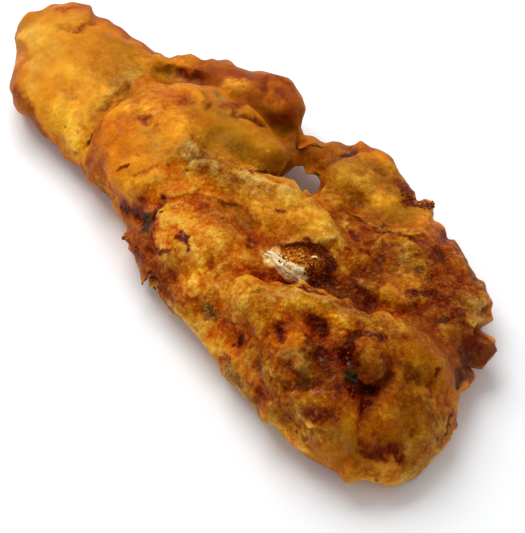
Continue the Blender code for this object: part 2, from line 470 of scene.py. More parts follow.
@dataclass(frozen=True)
class PhotoCamera:
    """The camera that took the photograph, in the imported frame.

    Attributes:
        target_mm: point that it looks at.
        distance_mm: from the target to the lens.
        elevation: degrees above the floor.
        heading: degrees that the lens stands round from +X towards -Y.
        focal_pixels: focal length in pixels of the photograph.
        sensor_mm: width of the sensor that the picture's longer side fills.
    """

    target_mm: tuple[float, float, float] = (17.12, -8.04, 7.0)
    distance_mm: float = 280.0
    elevation: float = 50.0
    heading: float = 33.0
    focal_pixels: float = 1500.0
    sensor_mm: float = 36.0

    def axes(self) -> tuple[Array, Array, Array]:
        """Unit vectors to the right, up, and back from the target to the lens."""
        rise, turn = np.radians(self.elevation), np.radians(self.heading)
        back = np.array([np.cos(rise) * np.cos(turn), -np.cos(rise) * np.sin(turn), np.sin(rise)])
        right = np.array([np.sin(turn), np.cos(turn), 0.0])
        return right, np.cross(back, right), back

    def lens(self) -> Array:
        """Place of the lens, in metres."""
        return (np.array(self.target_mm) + self.distance_mm * self.axes()[2]) * MM

    def ray(self, pixel: Pixel) -> Array:
        """Unit direction from the lens through a pixel."""
        right, up, back = self.axes()
        across = (pixel[0] - PHOTO_WIDTH / 2.0) / self.focal_pixels
        down = (pixel[1] - PHOTO_HEIGHT / 2.0) / self.focal_pixels
        ray = across * right - down * up - back
        return ray / np.linalg.norm(ray)

    def cast(self, tree: BVHTree, pixel: Pixel) -> tuple[Vector | None, Vector | None]:
        """Place and normal where the ray through a pixel first meets a surface, or None for both."""
        return tree.ray_cast(Vector(self.lens()), Vector(self.ray(pixel)))[:2]

    def pixels(self, points: Array) -> tuple[Array, Array]:
        """Where points show in the photograph.

        The place across and up over the depth, times the focal length, counts from the picture's middle.

        Args:
            points: places, three numbers a row.

        Returns:
            Pixel right and down, one row a point, and depth in metres.
        """
        right, up, back = self.axes()
        off = points - self.lens()
        depth = -(off @ back)
        across = PHOTO_WIDTH / 2.0 + self.focal_pixels * (off @ right) / depth
        down = PHOTO_HEIGHT / 2.0 - self.focal_pixels * (off @ up) / depth
        return np.stack([across, down], axis=1), depth

    def pixel_size(self, points: Array) -> Array:
        """Metres that one pixel spans at each point: its depth over the focal length in pixels."""
        return (self.lens() - points) @ self.axes()[2] / self.focal_pixels

    def sight(self, points: Array) -> Array:
        """Unit directions from the lens to points."""
        return unit(points - self.lens())

    def facing(self, shell: ShellMesh) -> Array:
        """How squarely each vertex faces the lens: 1 towards it, 0 side on and -1 away from it."""
        return -dots(shell.normals(), self.sight(shell.points))

    def build(self) -> bpy.types.Object:
        """Makes the camera and hands it to the scene."""
        data = bpy.data.cameras.new("photo_camera")
        data.sensor_width = self.sensor_mm
        data.lens = self.sensor_mm * self.focal_pixels / max(PHOTO_WIDTH, PHOTO_HEIGHT)
        data.clip_start = 0.01
        camera = link("photo_camera", data)
        place = np.eye(4)
        place[:3] = np.stack([*self.axes(), self.lens()], axis=1)
        camera.matrix_world = Matrix(place.tolist())
        bpy.context.scene.camera = camera
        return camera


class Nodes:
    """Short calls that add shader nodes to one new material.

    Attributes:
        material: the material.
        tree: its nodes and links.
    """

    def __init__(self, name: str) -> None:
        """Makes the material with an empty tree."""
        self.material = bpy.data.materials.new(name)
        self.material.use_nodes = True
        self.tree = self.material.node_tree
        self.tree.nodes.clear()

    def add(self, kind: str, settings: dict | None = None, **inputs: object) -> bpy.types.Node:
        """Adds a node.

        Args:
            kind: Blender's name of the node type, without ShaderNode.
            settings: properties of the node.
            inputs: a socket to link or a plain value for each input, its spaces written as underscores.

        Returns:
            The node.
        """
        node = self.tree.nodes.new("ShaderNode" + kind)
        for name, value in (settings or {}).items():
            setattr(node, name, value)
        for name, value in inputs.items():
            self.put(node, name.replace("_", " "), value)
        return node

    def put(self, node: bpy.types.Node, name: str | int, value: object) -> None:
        """Links a socket to a node's input, or sets the input to a value."""
        if isinstance(value, bpy.types.NodeSocket):
            self.tree.links.new(value, node.inputs[name])
        else:
            node.inputs[name].default_value = value

    def math(self, operation: str, *values: object, clamp: bool = False) -> Socket:
        """Result of one arithmetic step on sockets or numbers."""
        node = self.add("Math", {"operation": operation, "use_clamp": clamp})
        for index, value in enumerate(values):
            self.put(node, index, value)
        return node.outputs[0]

    def line(self, value: Socket, slope: object, start: object, clamp: bool = False) -> Socket:
        """A value times a slope, plus where the line starts."""
        return self.math("MULTIPLY_ADD", value, slope, start, clamp=clamp)

    def place(self) -> Socket:
        """Object coordinates."""
        return self.add("TexCoord").outputs["Object"]

    def noise(self, place: Socket, size_mm: float, detail: float, rough: float) -> Socket:
        """Noise from 0 to 1 whose widest waves are about size_mm across."""
        scale = 1.0 / (size_mm * MM)
        return self.add("TexNoise", Vector=place, Scale=scale, Detail=detail, Roughness=rough).outputs["Fac"]

    def attribute(self, name: str, output: str = "Fac") -> Socket:
        """One of the mesh's own attributes."""
        return self.add("Attribute", {"attribute_name": name}).outputs[output]

    def bump(self, height: Socket, distance_mm: float) -> Socket:
        """Normal that a height between 0 and 1, raised distance_mm, tilts."""
        return self.add("Bump", Height=height, Distance=distance_mm * MM, Strength=1.0).outputs[0]

    def surface(self, **inputs: object) -> bpy.types.Material:
        """Closes the tree with a surface that has these inputs, and returns the material."""
        shader = self.add("BsdfPrincipled", **inputs)
        self.add("OutputMaterial", Surface=shader.outputs[0])
        return self.material


@dataclass(frozen=True)
class FryFinish:
    """Fried batter: a slightly glassy crust, coloured from its vertices, that the light sinks into a little.

    Attributes:
        name: what the material is called.
        roughness: of its shine, at oily and at dry places.
        shine: strength of its mirror part.
        bend: index of refraction.
        shine_tint: colour of the mirror part.
        sink: share of light that spreads under the surface.
        sink_mm: how far that light spreads.
        sink_colour: how far red, green and blue spread against each other.
        coat: strength of the oil drops.
        coat_roughness: roughness of the drops.
        grain_mm: size of its finest grains.
        grain_depth_mm: height of these grains.
        stain_swing: how far noise swings the vertex colour's power, on the smoothest and on the roughest
            batter.
        mottle_mm: size of the wider swings.
        speck_mm: size of the finer swings.
        wrinkle_mm: size of the wrinkles between the grains.
        film_mm: size of oily and dry places.
        drop_mm: size of the oil drops.
    """

    name: str = "fried_batter"
    roughness: tuple[float, float] = (0.17, 0.50)
    shine: float = 0.3
    bend: float = 1.19
    shine_tint: Colour = (1.0, 0.66, 0.22, 1.0)
    sink: float = 0.03
    sink_mm: float = 0.35
    sink_colour: tuple[float, float, float] = (1.0, 0.45, 0.12)
    coat: float = 0.34
    coat_roughness: float = 0.14
    grain_mm: float = 0.42
    grain_depth_mm: float = 0.12
    stain_swing: tuple[float, float] = (0.05, 0.42)
    mottle_mm: float = 0.9
    speck_mm: float = 0.34
    wrinkle_mm: float = 0.7
    film_mm: float = 2.2
    drop_mm: float = 1.3

    def colour(self, nodes: Nodes, place: Socket, grit: Socket) -> Socket:
        """The vertex colour, painted shade and highlights included, to a power that swings about 1, which
        browns or pales it as a thicker layer of colour would.

        Args:
            nodes: the material's nodes.
            place: object coordinates.
            grit: how rough the batter is.

        Returns:
            The colour.
        """
        mottle = nodes.line(nodes.noise(place, self.mottle_mm, 4.0, 0.62), 2.6, -1.3)
        speck = nodes.line(nodes.noise(place, self.speck_mm, 2.0, 0.6), 2.2, -1.1)
        least, most = self.stain_swing
        power = nodes.line(nodes.math("ADD", mottle, speck), nodes.line(grit, most - least, least), 1.0)
        parts = nodes.add("SeparateColor", Color=nodes.attribute("colour_with_painted_light", "Color")).outputs
        red, green, blue = (nodes.math("POWER", part, power) for part in parts)
        return nodes.add("CombineColor", Red=red, Green=green, Blue=blue).outputs[0]

    def normal(self, nodes: Nodes, place: Socket, grit: Socket) -> Socket:
        """The normal that grains, high at their hearts, and wrinkles tilt, the more the rougher the batter.

        Args:
            nodes: the material's nodes.
            place: object coordinates.
            grit: how rough the batter is.

        Returns:
            The normal.
        """
        grains = nodes.add("TexVoronoi", {"feature": "SMOOTH_F1"}, Vector=place, Smoothness=0.35,
                           Scale=1.0 / (self.grain_mm * MM * 1.6)).outputs["Distance"]
        wrinkle = nodes.noise(place, self.wrinkle_mm, 3.0, 0.6)
        height = nodes.math("ADD", nodes.math("MULTIPLY", grains, nodes.line(grit, -1.6, 0.0)),
                            nodes.math("MULTIPLY", wrinkle, nodes.line(grit, 1.0, 0.2)))
        return nodes.bump(height, self.grain_depth_mm)

    def build(self) -> bpy.types.Material:
        """Makes the material: the colour and its painted light, grains, an uneven oil film, and drops on rough
        places.
        """
        nodes = Nodes(self.name)
        place = nodes.place()
        grit = nodes.attribute("grit")
        film = nodes.line(nodes.noise(place, self.film_mm, 3.0, 0.6), -1.6, 0.55)
        film = nodes.math("ADD", film, nodes.math("MULTIPLY", nodes.attribute("glaze"), 1.1), clamp=True)
        drops = nodes.line(nodes.noise(place, self.drop_mm, 3.0, 0.65), 10.0, -5.8, clamp=True)
        oily, dry = self.roughness
        return nodes.surface(
            Base_Color=self.colour(nodes, place, grit), Normal=self.normal(nodes, place, grit),
            Roughness=nodes.line(film, oily - dry, dry), IOR=self.bend, Specular_IOR_Level=self.shine,
            Specular_Tint=self.shine_tint, Subsurface_Weight=self.sink, Subsurface_Scale=self.sink_mm * MM,
            Subsurface_Radius=self.sink_colour, Coat_Roughness=self.coat_roughness,
            Coat_Weight=nodes.math("MULTIPLY", drops, nodes.math("MULTIPLY", grit, self.coat)))


@dataclass(frozen=True)
class CrumbFinish(FryFinish):
    """Loose crumbs: the batter's finish with more oil on it."""

    name: str = "oily_crumbs"
    roughness: tuple[float, float] = (0.12, 0.34)
    shine: float = 1.0
    grain_depth_mm: float = 0.04


@dataclass(frozen=True)
class MeatFinish:
    """Cooked white meat: pale and moist.

    Attributes:
        name: what the material is called.
        pale: colour of most of it.
        warm: colour of its clouds.
        cloud_mm: size of the clouds.
        bump_mm: size of its small bumps.
        bump_depth_mm: height of these bumps.
        sink: share of light that spreads under the surface.
        sink_mm: how far that light spreads.
    """

    name: str = "white_meat"
    pale: Colour = (0.90, 0.75, 0.44, 1.0)
    warm: Colour = (0.80, 0.48, 0.13, 1.0)
    cloud_mm: float = 1.2
    bump_mm: float = 0.4
    bump_depth_mm: float = 0.12
    sink: float = 0.3
    sink_mm: float = 0.4

    def build(self) -> bpy.types.Material:
        """Makes the material: two tones mixed by noise, and small moist bumps."""
        nodes = Nodes(self.name)
        place = nodes.place()
        colour = nodes.add("Mix", {"data_type": "RGBA"})
        nodes.put(colour, 0, nodes.line(nodes.noise(place, self.cloud_mm, 3.0, 0.6), 2.4, -0.8, clamp=True))
        nodes.put(colour, 6, self.pale)
        nodes.put(colour, 7, self.warm)
        return nodes.surface(
            Base_Color=colour.outputs[2], Roughness=0.24, IOR=1.4, Specular_IOR_Level=0.6,
            Normal=nodes.bump(nodes.noise(place, self.bump_mm, 3.0, 0.6), self.bump_depth_mm),
            Subsurface_Weight=self.sink, Subsurface_Scale=self.sink_mm * MM,
            Subsurface_Radius=(1.0, 0.7, 0.4))


@dataclass(frozen=True)
class FloorFinish:
    """Plain white paper-like floor.

    Attributes:
        name: what the material is called.
        colour: its colour.
    """

    name: str = "white_floor"
    colour: Colour = (0.90, 0.915, 0.93, 1.0)

    def build(self) -> bpy.types.Material:
        """Makes the material."""
        return Nodes(self.name).surface(Base_Color=self.colour, Roughness=0.9, Specular_IOR_Level=0.0)


PULLS = tuple(Pull(*row) for row in (
    (25, 20, 2, 0, 14), (40, 4, 1, 4, 16), (60, 2, 0, 3, 14), (88, 8, 2, 0, 8), (19, 50, 5, 0, 14),
    (18, 36, -1, 2, 7), (17, 88, -5, 2, 18), (22, 106, -6, 3, 16), (46, 134, -2, 2, 18),
    (70, 158, -3, 2, 18), (90, 180, -3, 3, 18), (99, 14, -4, 6, 14), (113, 23, -2, 4, 18),
    (130, 36, -2, 3, 18), (158, 59, 1, -3, 10), (180, 58, 0, 4, 14), (170, 57, 0, 3, 10),
    (201, 60, 0, 7, 14), (227, 62, 1, -3, 12), (266, 82, 0, -8, 22), (284, 84, 3, -3, 14),
    (296, 93, -3, 1, 9), (306, 138, -5, 8, 12), (312, 133, -6, 8, 10), (314, 124, -13, 7, 20),
    (324, 136, -4, 9, 12), (350, 143, 0, 8, 13), (368, 147, 0, 4, 10), (388, 154, 1, 1, 12),
    (403, 184, 2, -2, 13), (419, 198, -5, 7, 8), (431, 203, 3, 0, 6), (436, 220, -5, 0, 9),
    (447, 236, -4, 6, 10), (478, 286, 5, -3, 10), (489, 312, -8, -1, 11), (486, 332, -19, 4, 13),
    (490, 352, 6, 0, 10), (478, 364, 4, 4, 10), (464, 384, 8, 3, 13), (484, 358, 3, 3, 8),
    (465, 373, 8, 2, 9), (458, 404, -8, 0, 13), (455, 424, 7, 0, 14), (455, 431, 3, 2, 10),
    (438, 450, 2, 2, 12), (352, 476, -4, 6, 18), (268, 416, -6, 6, 18), (222, 362, 5, -4, 12),
    (151, 289, 2, -9, 11), (130, 238, -8, 0, 10), (134, 249, -5, 0, 8), (144, 267, -1, 10, 9),
    (144, 269, -1, 8, 5), (151, 284, 4, -6, 9), (318, 125, -2, 5, 11), (460, 378, 5, 2, 13),
    (304, 188, 1, 10, 12), (314, 189, 1, 8, 10), (319, 182, 3, 5, 9), (312, 172, -5, 5, 11),
    (290, 272, 1, 11, 20), (312, 284, 1, 6, 16), (268, 270, 0, 12, 24), (336, 287, 2, 10, 22),
    (368, 309, 0, 5, 14),
))

LOBES = table(
    Patch,
    (1.0, 26, 84, 172, 85, 150, 90, 137, 97, 123, 105, 110, 112, 101, LEDGE),
    (0.5, 20, 105, 110, 112, 101, 128, 86, 150, 72, LEDGE),
    (1.3, 28, 152, 98, 172, 118, 188, 136),
    (-0.8, 12, 158, 70, 180, 75, 202, 82),
    (-1.4, 15, 214, 108, 250, 119, 280, 127, 293, 140),
    (1.0, 20, 232, 86, 268, 92, 285, 106),
    (0.8, 18, 176, 167, 200, 160, 220, 159, 245, 167, 272, 178, 298, 191, LEDGE),
    (0.45, 15, 250, 206, 222, 203, 198, 193, 165, 197, 146, 208, LEDGE),
    (-1.5, 14, 112, 204, 132, 212, 148, 221),
    (1.0, 30, 185, 225, 205, 250),
    (0.8, 26, 290, 205, 318, 216),
    (0.7, 18, 345, 206, 347, 226, 338, 239, 318, 244, 295, 243, 268, 248, LEDGE),
    (1.2, 22, 298, 256, 318, 264),
    (1.3, 16, 280, 264, 292, 270, 300, 274),
    (0.4, 24, 228, 297, 262, 290, 290, 286, 305, 290, LEDGE),
    (1.2, 26, 288, 285, 305, 289, 325, 298, 350, 308, 388, 320, LEDGE),
    (-0.9, 14, 330, 284, 352, 292, 376, 300),
    (-0.3, 13, 313, 322, 322, 334),
    (1.8, 21, 366, 366, 372, 370),
    (-0.8, 10, 350, 381, 362, 391, 380, 390, 391, 378),
    (-0.4, 13, 360, 398, 362, 414, 361, 430),
    (-0.3, 10, 284, 389, 300, 388, 316, 384),
    (0.6, 15, 292, 356, 298, 362),
    (0.6, 10, 270, 367, 274, 370),
    (0.7, 14, 304, 364, 306, 372),
    (-0.5, 12, 322, 356, 330, 374, 338, 388),
    (0.3, 18, 300, 402, 330, 404),
    (0.6, 30, 402, 378, 400, 410),
    (3.2, 34, 444, 440, 449, 420, 451, 400, 447, 375, 438, 348, 424, 328, LEDGE),
    (-0.4, 9, 352, 335, 384, 338),
    (-0.4, 9, 398, 338, 430, 333),
    (1.0, 15, 386, 296, 402, 302),
    (0.8, 17, 350, 178, 378, 188),
    (0.9, 16, 430, 237, 408, 236, 385, 231, 374, 228, 356, 219, 341, 206, LEDGE),
)

MELTED = table(
    Patch,
    (1.0, 24, 424, 326, 438, 345, 447, 372, 450, 400, 447, 425, FIRM),
    (0.8, 14, 394, 312, 412, 320, 426, 330, FIRM),
)

GRAINY = table(
    Patch,
    (0.30, 60, 170, 210, 195, 250, 215, 290),
    (0.35, 70, 230, 320, 270, 360, 300, 400),
    (0.30, 55, 360, 250, 410, 270, 450, 310),
    (0.25, 30, 260, 296, 300, 293, 345, 308, 390, 322),
    (0.35, 26, 190, 155, 215, 172, 260, 182),
    (0.35, 26, 474, 300, 478, 314),
    (-0.40, 60, 220, 80, 270, 100, 290, 120),
    (-0.40, 50, 230, 135, 265, 150),
    (-0.35, 55, 330, 160, 375, 175, 400, 205),
    (-0.30, 60, 410, 370, 400, 420, 360, 450),
    (-0.50, 30, 472, 340, 490, 350, 476, 368, 464, 384),
)

BROWNED = table(
    Patch,
    (0.34, 110, 300, 345, 370, 370),
    (0.26, 60, 340, 350, 352, 372),
    (0.12, 80, 375, 262, 440, 290),
)

# Painted shade: neutral darkening laid over parts of the crust that the light reaches less; the patch with a
# negative amount lightens its part as painted light.
PAINTED_SHADE = table(
    Patch,
    (0.32, 80, 375, 262, 440, 290),
    (0.24, 60, 340, 170, 390, 200),
    (0.20, 50, 230, 140, 270, 150),
    (0.20, 60, 225, 80, 280, 105),
    (0.14, 70, 420, 380, 410, 420, 350, 440),
    (0.16, 60, 320, 350, 352, 372),
    (-0.20, 50, 300, 432, 350, 448),
    (0.12, 80, 50, 40, 70, 110),
    (0.10, 50, 235, 145, 262, 158),
)

BROAD_MARKS = table(
    Mark,
    (GOLD, 78, 1.0, 0, 52, 30, 60, 80, 88, 120),
    (HONEY, 46, 0.9, 0, 150, 62, 176, 82, 200, 70),
    (AMBER, 56, 0.95, 0, 112, 150, 130, 185, 150, 120),
    (GOLD, 34, 0.55, 0, 150, 130, 160, 170, 140, 160),
    (HONEY, 48, 0.95, 0, 200, 120, 240, 145, 270, 165),
    (RUSSET, 34, 0.9, 0, 205, 72, 240, 76, 275, 85, 286, 110),
    (HONEY, 44, 0.95, 0, 250, 190, 300, 200, 330, 225, 300, 232),
    (OCHRE, 36, 0.8, 0, 318, 150, 350, 165, 385, 175),
    (HONEY, 32, 0.85, 0, 345, 180, 375, 198, 400, 216),
    (AMBER, 54, 0.9, 0, 165, 215, 195, 240, 215, 262, 190, 285),
    (HONEY, 40, 0.55, 0, 225, 250, 250, 275, 235, 300),
    (BROWN, 26, 0.75, 0, 140, 245, 150, 275, 165, 300),
    (HONEY, 52, 0.9, 0, 250, 310, 290, 305, 340, 320, 390, 335),
    (OCHRE, 70, 0.92, 0, 300, 420, 360, 440, 410, 400, 420, 360),
    (HONEY, 40, 0.5, 0, 400, 350, 385, 420, 300, 400),
    (OCHRE, 40, 0.7, 0, 350, 290, 390, 270, 420, 250),
    (RUSSET, 42, 0.85, 0, 440, 240, 460, 280, 450, 300),
    (OCHRE, 30, 0.7, 0, 470, 310, 455, 330),
)

TAIL_MARKS = table(
    Mark,
    (PALE, 24, 0.7, 0.15, 34, 30, 34, 40),
    (PALE, 22, 0.6, 0.2, 34, 66, 30, 88),
    (PALE, 14, 0.4, 0, 56, 47, 48, 55),
    (SUNNY, 30, 0.85, 0.3, 66, 112, 78, 138),
    (SUNNY, 20, 0.5, 0, 62, 72, 84, 78),
    (SUNNY, 14, 0.5, 0, 102, 100, 108, 90),
    (AMBER, 16, 0.35, -0.1, 89, 47, 104, 56),
    (AMBER, 13, 0.5, 0, 23, 46, 24, 56),
    (AMBER, 12, 0.45, 0, 23, 74, 22, 80),
    (AMBER, 15, 0.35, -0.1, 40, 78, 50, 90, 58, 82),
    (RUSSET, 9, 0.75, -0.25, 60, 9, 66, 10, 72, 8),
    (OCHRE, 9, 0.6, -0.3, 60, 27, 70, 29, 79, 30),
    (RUSSET, 8, 0.75, -0.5, 78, 30, 84, 27, 90, 23),
    (SAND, 10, 0.6, 0.35, 66, 20, 78, 18, 88, 14),
    (AMBER, 9, 0.5, -0.15, 66, 43, 74, 41),
    # Painted shadow: a brown band along the tail's lower left rim, where it curves under.
    (BROWN, 11, 0.8, -0.1, 15, 92, 20, 98, 27, 104, 32, 116, 39, 127, 43, 134),
    (AMBER, 9, 0.6, 0, 50, 141, 60, 150, 70, 160),
    (OLIVE, 5, 0.75, -0.2, 72, 98),
    (AMBER, 8, 0.5, 0, 69, 86, 68, 94),
    (RUSSET, 5, 0.5, -0.15, 76, 133),
    (AMBER, 7, 0.5, 0.2, 93, 54, 98, 60),
    (OLIVE, 7, 0.55, -0.2, 70, 151, 78, 156),
    (PALE, 7, 0.6, 0.25, 17, 37, 22, 36),
    # Painted shade: this stroke and the next darken the tail's top rim.
    (RUSSET, 5, 0.6, 0, 46, 5, 60, 4, 76, 4, 89, 6),
    (RUSSET, 5, 0.75, 0, 93, 13, 110, 21, 127, 34, 149, 50, 168, 57),
    (RUSSET, 10, 0.6, -0.1, 121, 31, 136, 41, 152, 52),
    (AMBER, 12, 0.4, 0, 112, 62, 124, 70),
    (SAGE, 12, 0.55, 0, 141, 68, 128, 76, 116, 84),
)

MIDDLE_MARKS = table(
    Mark,
    (SAND, 8, 0.7, 0.5, 140, 73, 122, 86, 110, 96, 103, 105),
    # Painted shadow: this stroke and the next darken the line under the step where the middle lobe overlaps
    # the tail.
    (OCHRE, 6, 0.5, -0.3, 143, 77, 128, 87, 120, 96, 111, 102, 105, 110),
    (BROWN, 7, 0.65, -0.3, 110, 110, 116, 105, 122, 101),
    (RUSSET, 14, 0.6, -0.1, 102, 121, 96, 134, 94, 148),
    (CHAR, 5, 0.95, -0.7, 88, 143, 91, 137, FIRM),
    (RUSSET, 18, 0.6, 0, 90, 160, 98, 172, 104, 160),
    (BROWN, 11, 0.75, 0, 84, 170, 95, 181, 103, 192),
    (ASH, 5, 0.45, 0, 101, 178, 104, 188),
    (CHAR, 6, 0.8, 0, 105, 194, 109, 199),
    (ORANGE, 8, 0.7, 0.3, 92, 180, 97, 176),
    (OCHRE, 6, 0.6, -0.5, 157, 69, 168, 71, 178, 73),
    (MAROON, 9, 0.75, -0.5, 181, 73, 190, 75, 199, 77),
    (SAND, 7, 0.55, 0.5, 178, 85, 192, 84, 203, 88),
    (ORANGE, 16, 0.75, -0.2, 160, 92, 170, 96, 180, 98),
    (RUSSET, 7, 0.8, -0.4, 181, 101, 190, 103),
    (OCHRE, 8, 0.7, -0.5, 202, 92, 208, 100, 206, 106),
    (GOLD, 9, 0.6, 0.3, 196, 92, 200, 101),
    (SUNNY, 13, 0.6, 0.3, 128, 108, 142, 104, 150, 110),
    (SAND, 7, 0.65, 0.4, 152, 117, 160, 110, 165, 107),
    (MAROON, 7, 0.75, -0.3, 138, 118, 147, 121),
    (BROWN, 4, 0.6, -0.4, 152, 126, 157, 124),
    (BROWN, 4, 0.7, -0.5, 164, 111, 167, 108),
    (SUNNY, 15, 0.55, 0.2, 176, 112, 182, 122, 176, 130),
    (ORANGE, 9, 0.6, 0, 198, 116, 208, 119),
    (ORANGE, 16, 0.55, 0, 104, 128, 116, 124, 128, 122),
    (MAROON, 3.5, 0.6, -0.3, 192, 137, 194, 139),
    (MAROON, 5, 0.6, 0.3, 201, 144),
    (CREAM, 3, 0.6, 0.1, 200, 144),
    (BROWN, 3.5, 0.7, -0.6, 147, 140),
    (BROWN, 3.5, 0.65, -0.5, 139, 155),
    (MAROON, 3, 0.9, -0.7, 168, 163, FIRM),
    (MAROON, 3.5, 0.9, -0.8, 119, 173, 124, 169, 129, 165, FIRM),
    (RUSSET, 4.5, 0.7, -0.6, 136, 175, 148, 172, 156, 166),
    (SUNNY, 9, 0.45, 0.3, 130, 180, 142, 181, 152, 178),
    (SAND, 15, 0.6, 0.15, 150, 132, 158, 146, 170, 152),
    (SAGE, 18, 0.75, 0.1, 186, 150, 196, 158, 214, 166),
    (CREAM, 3.5, 0.85, 0.4, 203, 166),
    (SAND, 15, 0.7, 0.1, 188, 152, 204, 168, 228, 176, 256, 181, 286, 187),
    (CREAM, 3.5, 0.5, 0.3, 193, 148, 195, 151),
    (OLIVE, 5, 0.5, -0.3, 186, 170, 184, 176),
    (AMBER, 9, 0.5, 0, 190, 182, 180, 186),
    (OCHRE, 8, 0.4, 0, 210, 158, 222, 162, 238, 165),
    (OLIVE, 12, 0.35, 0, 238, 150, 226, 140),
    (CREAM, 3.5, 0.75, 0.3, 269, 151),
    (PALE, 3, 0.5, 0.2, 253, 155),
    (MAROON, 4, 0.8, -0.8, 242, 169, 252, 171, 260, 172, FIRM),
    (MAROON, 5, 0.95, -1.1, 259, 171, 267, 173, 275, 175, FIRM),
    (CREAM, 3, 0.55, 0.4, 252, 176, 259, 177, 264, 178),
    (AMBER, 8, 0.6, 0.3, 262, 183, 270, 182),
    (OCHRE, 14, 0.6, 0, 280, 160, 287, 172, 276, 166),
    (RUSSET, 6, 0.6, 0, 284, 146, 288, 156),
    # Painted shadow: a grey streak where a narrow slit would show shaded floor.
    (ASH, 3.5, 0.6, 0, 292, 140, 293, 152, 293, 161),
)

BACK_MARKS = table(
    Mark,
    (ORANGE, 12, 0.5, 0, 222, 74, 214, 80),
    (AMBER, 10, 0.6, 0.2, 176, 62, 190, 66, 206, 66),
    (AMBER, 20, 0.6, 0.3, 222, 92, 236, 84, 250, 88),
    (PALE, 13, 0.55, 0.4, 229, 84, 240, 87),
    (GOLD, 10, 0.5, 0.3, 228, 90, 240, 82, 248, 84),
    (ASH, 6, 0.7, -0.2, 215, 92, 219, 99),
    (SAGE, 7, 0.6, -0.3, 213, 90, 221, 100),
    (MAROON, 7, 0.75, -0.3, 262, 80, 266, 88, 260, 90),
    (MAROON, 5, 0.8, -0.3, 273, 88, 281, 93, 286, 98),
    (AMBER, 9, 0.75, 0.2, 268, 97, 274, 84, 281, 84),
    (GOLD, 10, 0.6, 0.2, 270, 106, 278, 110, 283, 106),
    (MAROON, 10, 0.5, 0, 222, 104, 232, 107, 242, 102),
    (SAND, 4, 0.5, 0.2, 229, 106),
    (RUSSET, 10, 0.5, 0, 250, 96, 256, 106),
    (BROWN, 10, 0.75, -1.0, 236, 114, 246, 117, 254, 120, 262, 124),
    (MAROON, 5, 0.6, -0.5, 255, 121, 262, 124),
    (OLIVE, 8, 0.5, -0.4, 216, 108, 224, 114, 236, 118),
    (OCHRE, 10, 0.6, -0.3, 276, 126, 286, 132, 292, 124),
    (BROWN, 8, 0.6, 0, 292, 92, 301, 108, 302, 124),
    # Painted shade: this stroke and the next darken the back's top rim.
    (MAROON, 4, 0.5, 0, 262, 75, 276, 76, 288, 84),
    (RUSSET, 5, 0.6, 0, 170, 58, 203, 62, 228, 62),
)

FLAP_MARKS = table(
    Mark,
    (RUSSET, 15, 0.6, 0, 298, 142, 306, 150, 316, 160),
    (RUSSET, 9, 0.6, 0, 326, 152, 334, 160),
    (AMBER, 8, 0.5, 0, 310, 145, 332, 143),
    (CHAR, 5, 0.95, -0.7, 343, 156, 350, 155, 356, 152, FIRM),
    (RUSSET, 6, 0.8, -0.4, 357, 151, 352, 147),
    (BROWN, 7, 0.75, -0.5, 322, 168, 330, 163, 340, 159),
    (CHAR, 5, 0.85, 0, 314, 174, 319, 179),
    (GOLD, 15, 0.45, 0.3, 340, 176, 352, 182),
    (GOLD, 13, 0.5, 0.2, 366, 156, 378, 160, 390, 166),
    (GOLD, 12, 0.5, 0.2, 372, 174, 362, 182),
    (ORANGE, 7, 0.75, -0.3, 387, 178, 383, 186, 380, 190),
    (SUNNY, 11, 0.75, 0.3, 376, 200, 386, 204, 393, 198),
    (PALE, 5, 0.4, 0.3, 378, 196, 384, 192),
    (MAROON, 8, 0.85, 0, 402, 182, 408, 190, 410, 198, FIRM),
    (MAROON, 7, 0.95, -0.2, 404, 200, 410, 206, 418, 206, FIRM),
    (CHAR, 5, 0.85, 0.2, 416, 206, 424, 206, 430, 204, FIRM),
    # Painted highlights: this streak and the next are grey glints on the burnt rim.
    (ASH, 3.5, 0.35, 0, 409, 187, 412, 192),
    (ASH, 3, 0.35, 0, 424, 203, 427, 201),
    (OCHRE, 5, 0.6, 0, 400, 172, 404, 178),
    (GOLD, 12, 0.5, 0.2, 402, 216, 412, 220, 426, 216),
    (AMBER, 8, 0.5, 0, 398, 226, 410, 228),
    (CHAR, 4, 0.95, -0.6, 382, 227, 386, 226, FIRM),
    (OLIVE, 5, 0.7, -0.4, 378, 231, 384, 232),
    # Painted shadow: this stroke and the next darken the line under the flap's lower edge.
    (BROWN, 5, 0.7, -0.8, 373, 232, 392, 233, 408, 236),
    (OCHRE, 6, 0.6, -0.6, 341, 206, 350, 213, 362, 221, 374, 228),
    (SAND, 5, 0.45, 0.3, 343, 203, 354, 206, 366, 210, 380, 216),
    (OCHRE, 14, 0.5, 0, 350, 200, 365, 203),
    (MAROON, 6, 0.8, -0.5, 410, 239, 418, 241, 424, 243),
    (OCHRE, 10, 0.5, 0, 328, 180, 334, 194, 322, 186),
    (SAND, 12, 0.55, 0.1, 398, 212, 415, 214, 430, 212),
    (OCHRE, 13, 0.7, 0, 372, 148, 388, 154, 397, 168, 402, 180),
    # Painted shade: this stroke and the next darken the flap's outer rim.
    (BROWN, 5, 0.6, 0, 330, 141, 350, 144, 372, 146, 392, 156, 400, 172, 412, 188),
    (BROWN, 6, 0.6, 0, 420, 200, 430, 203, 433, 214),
)

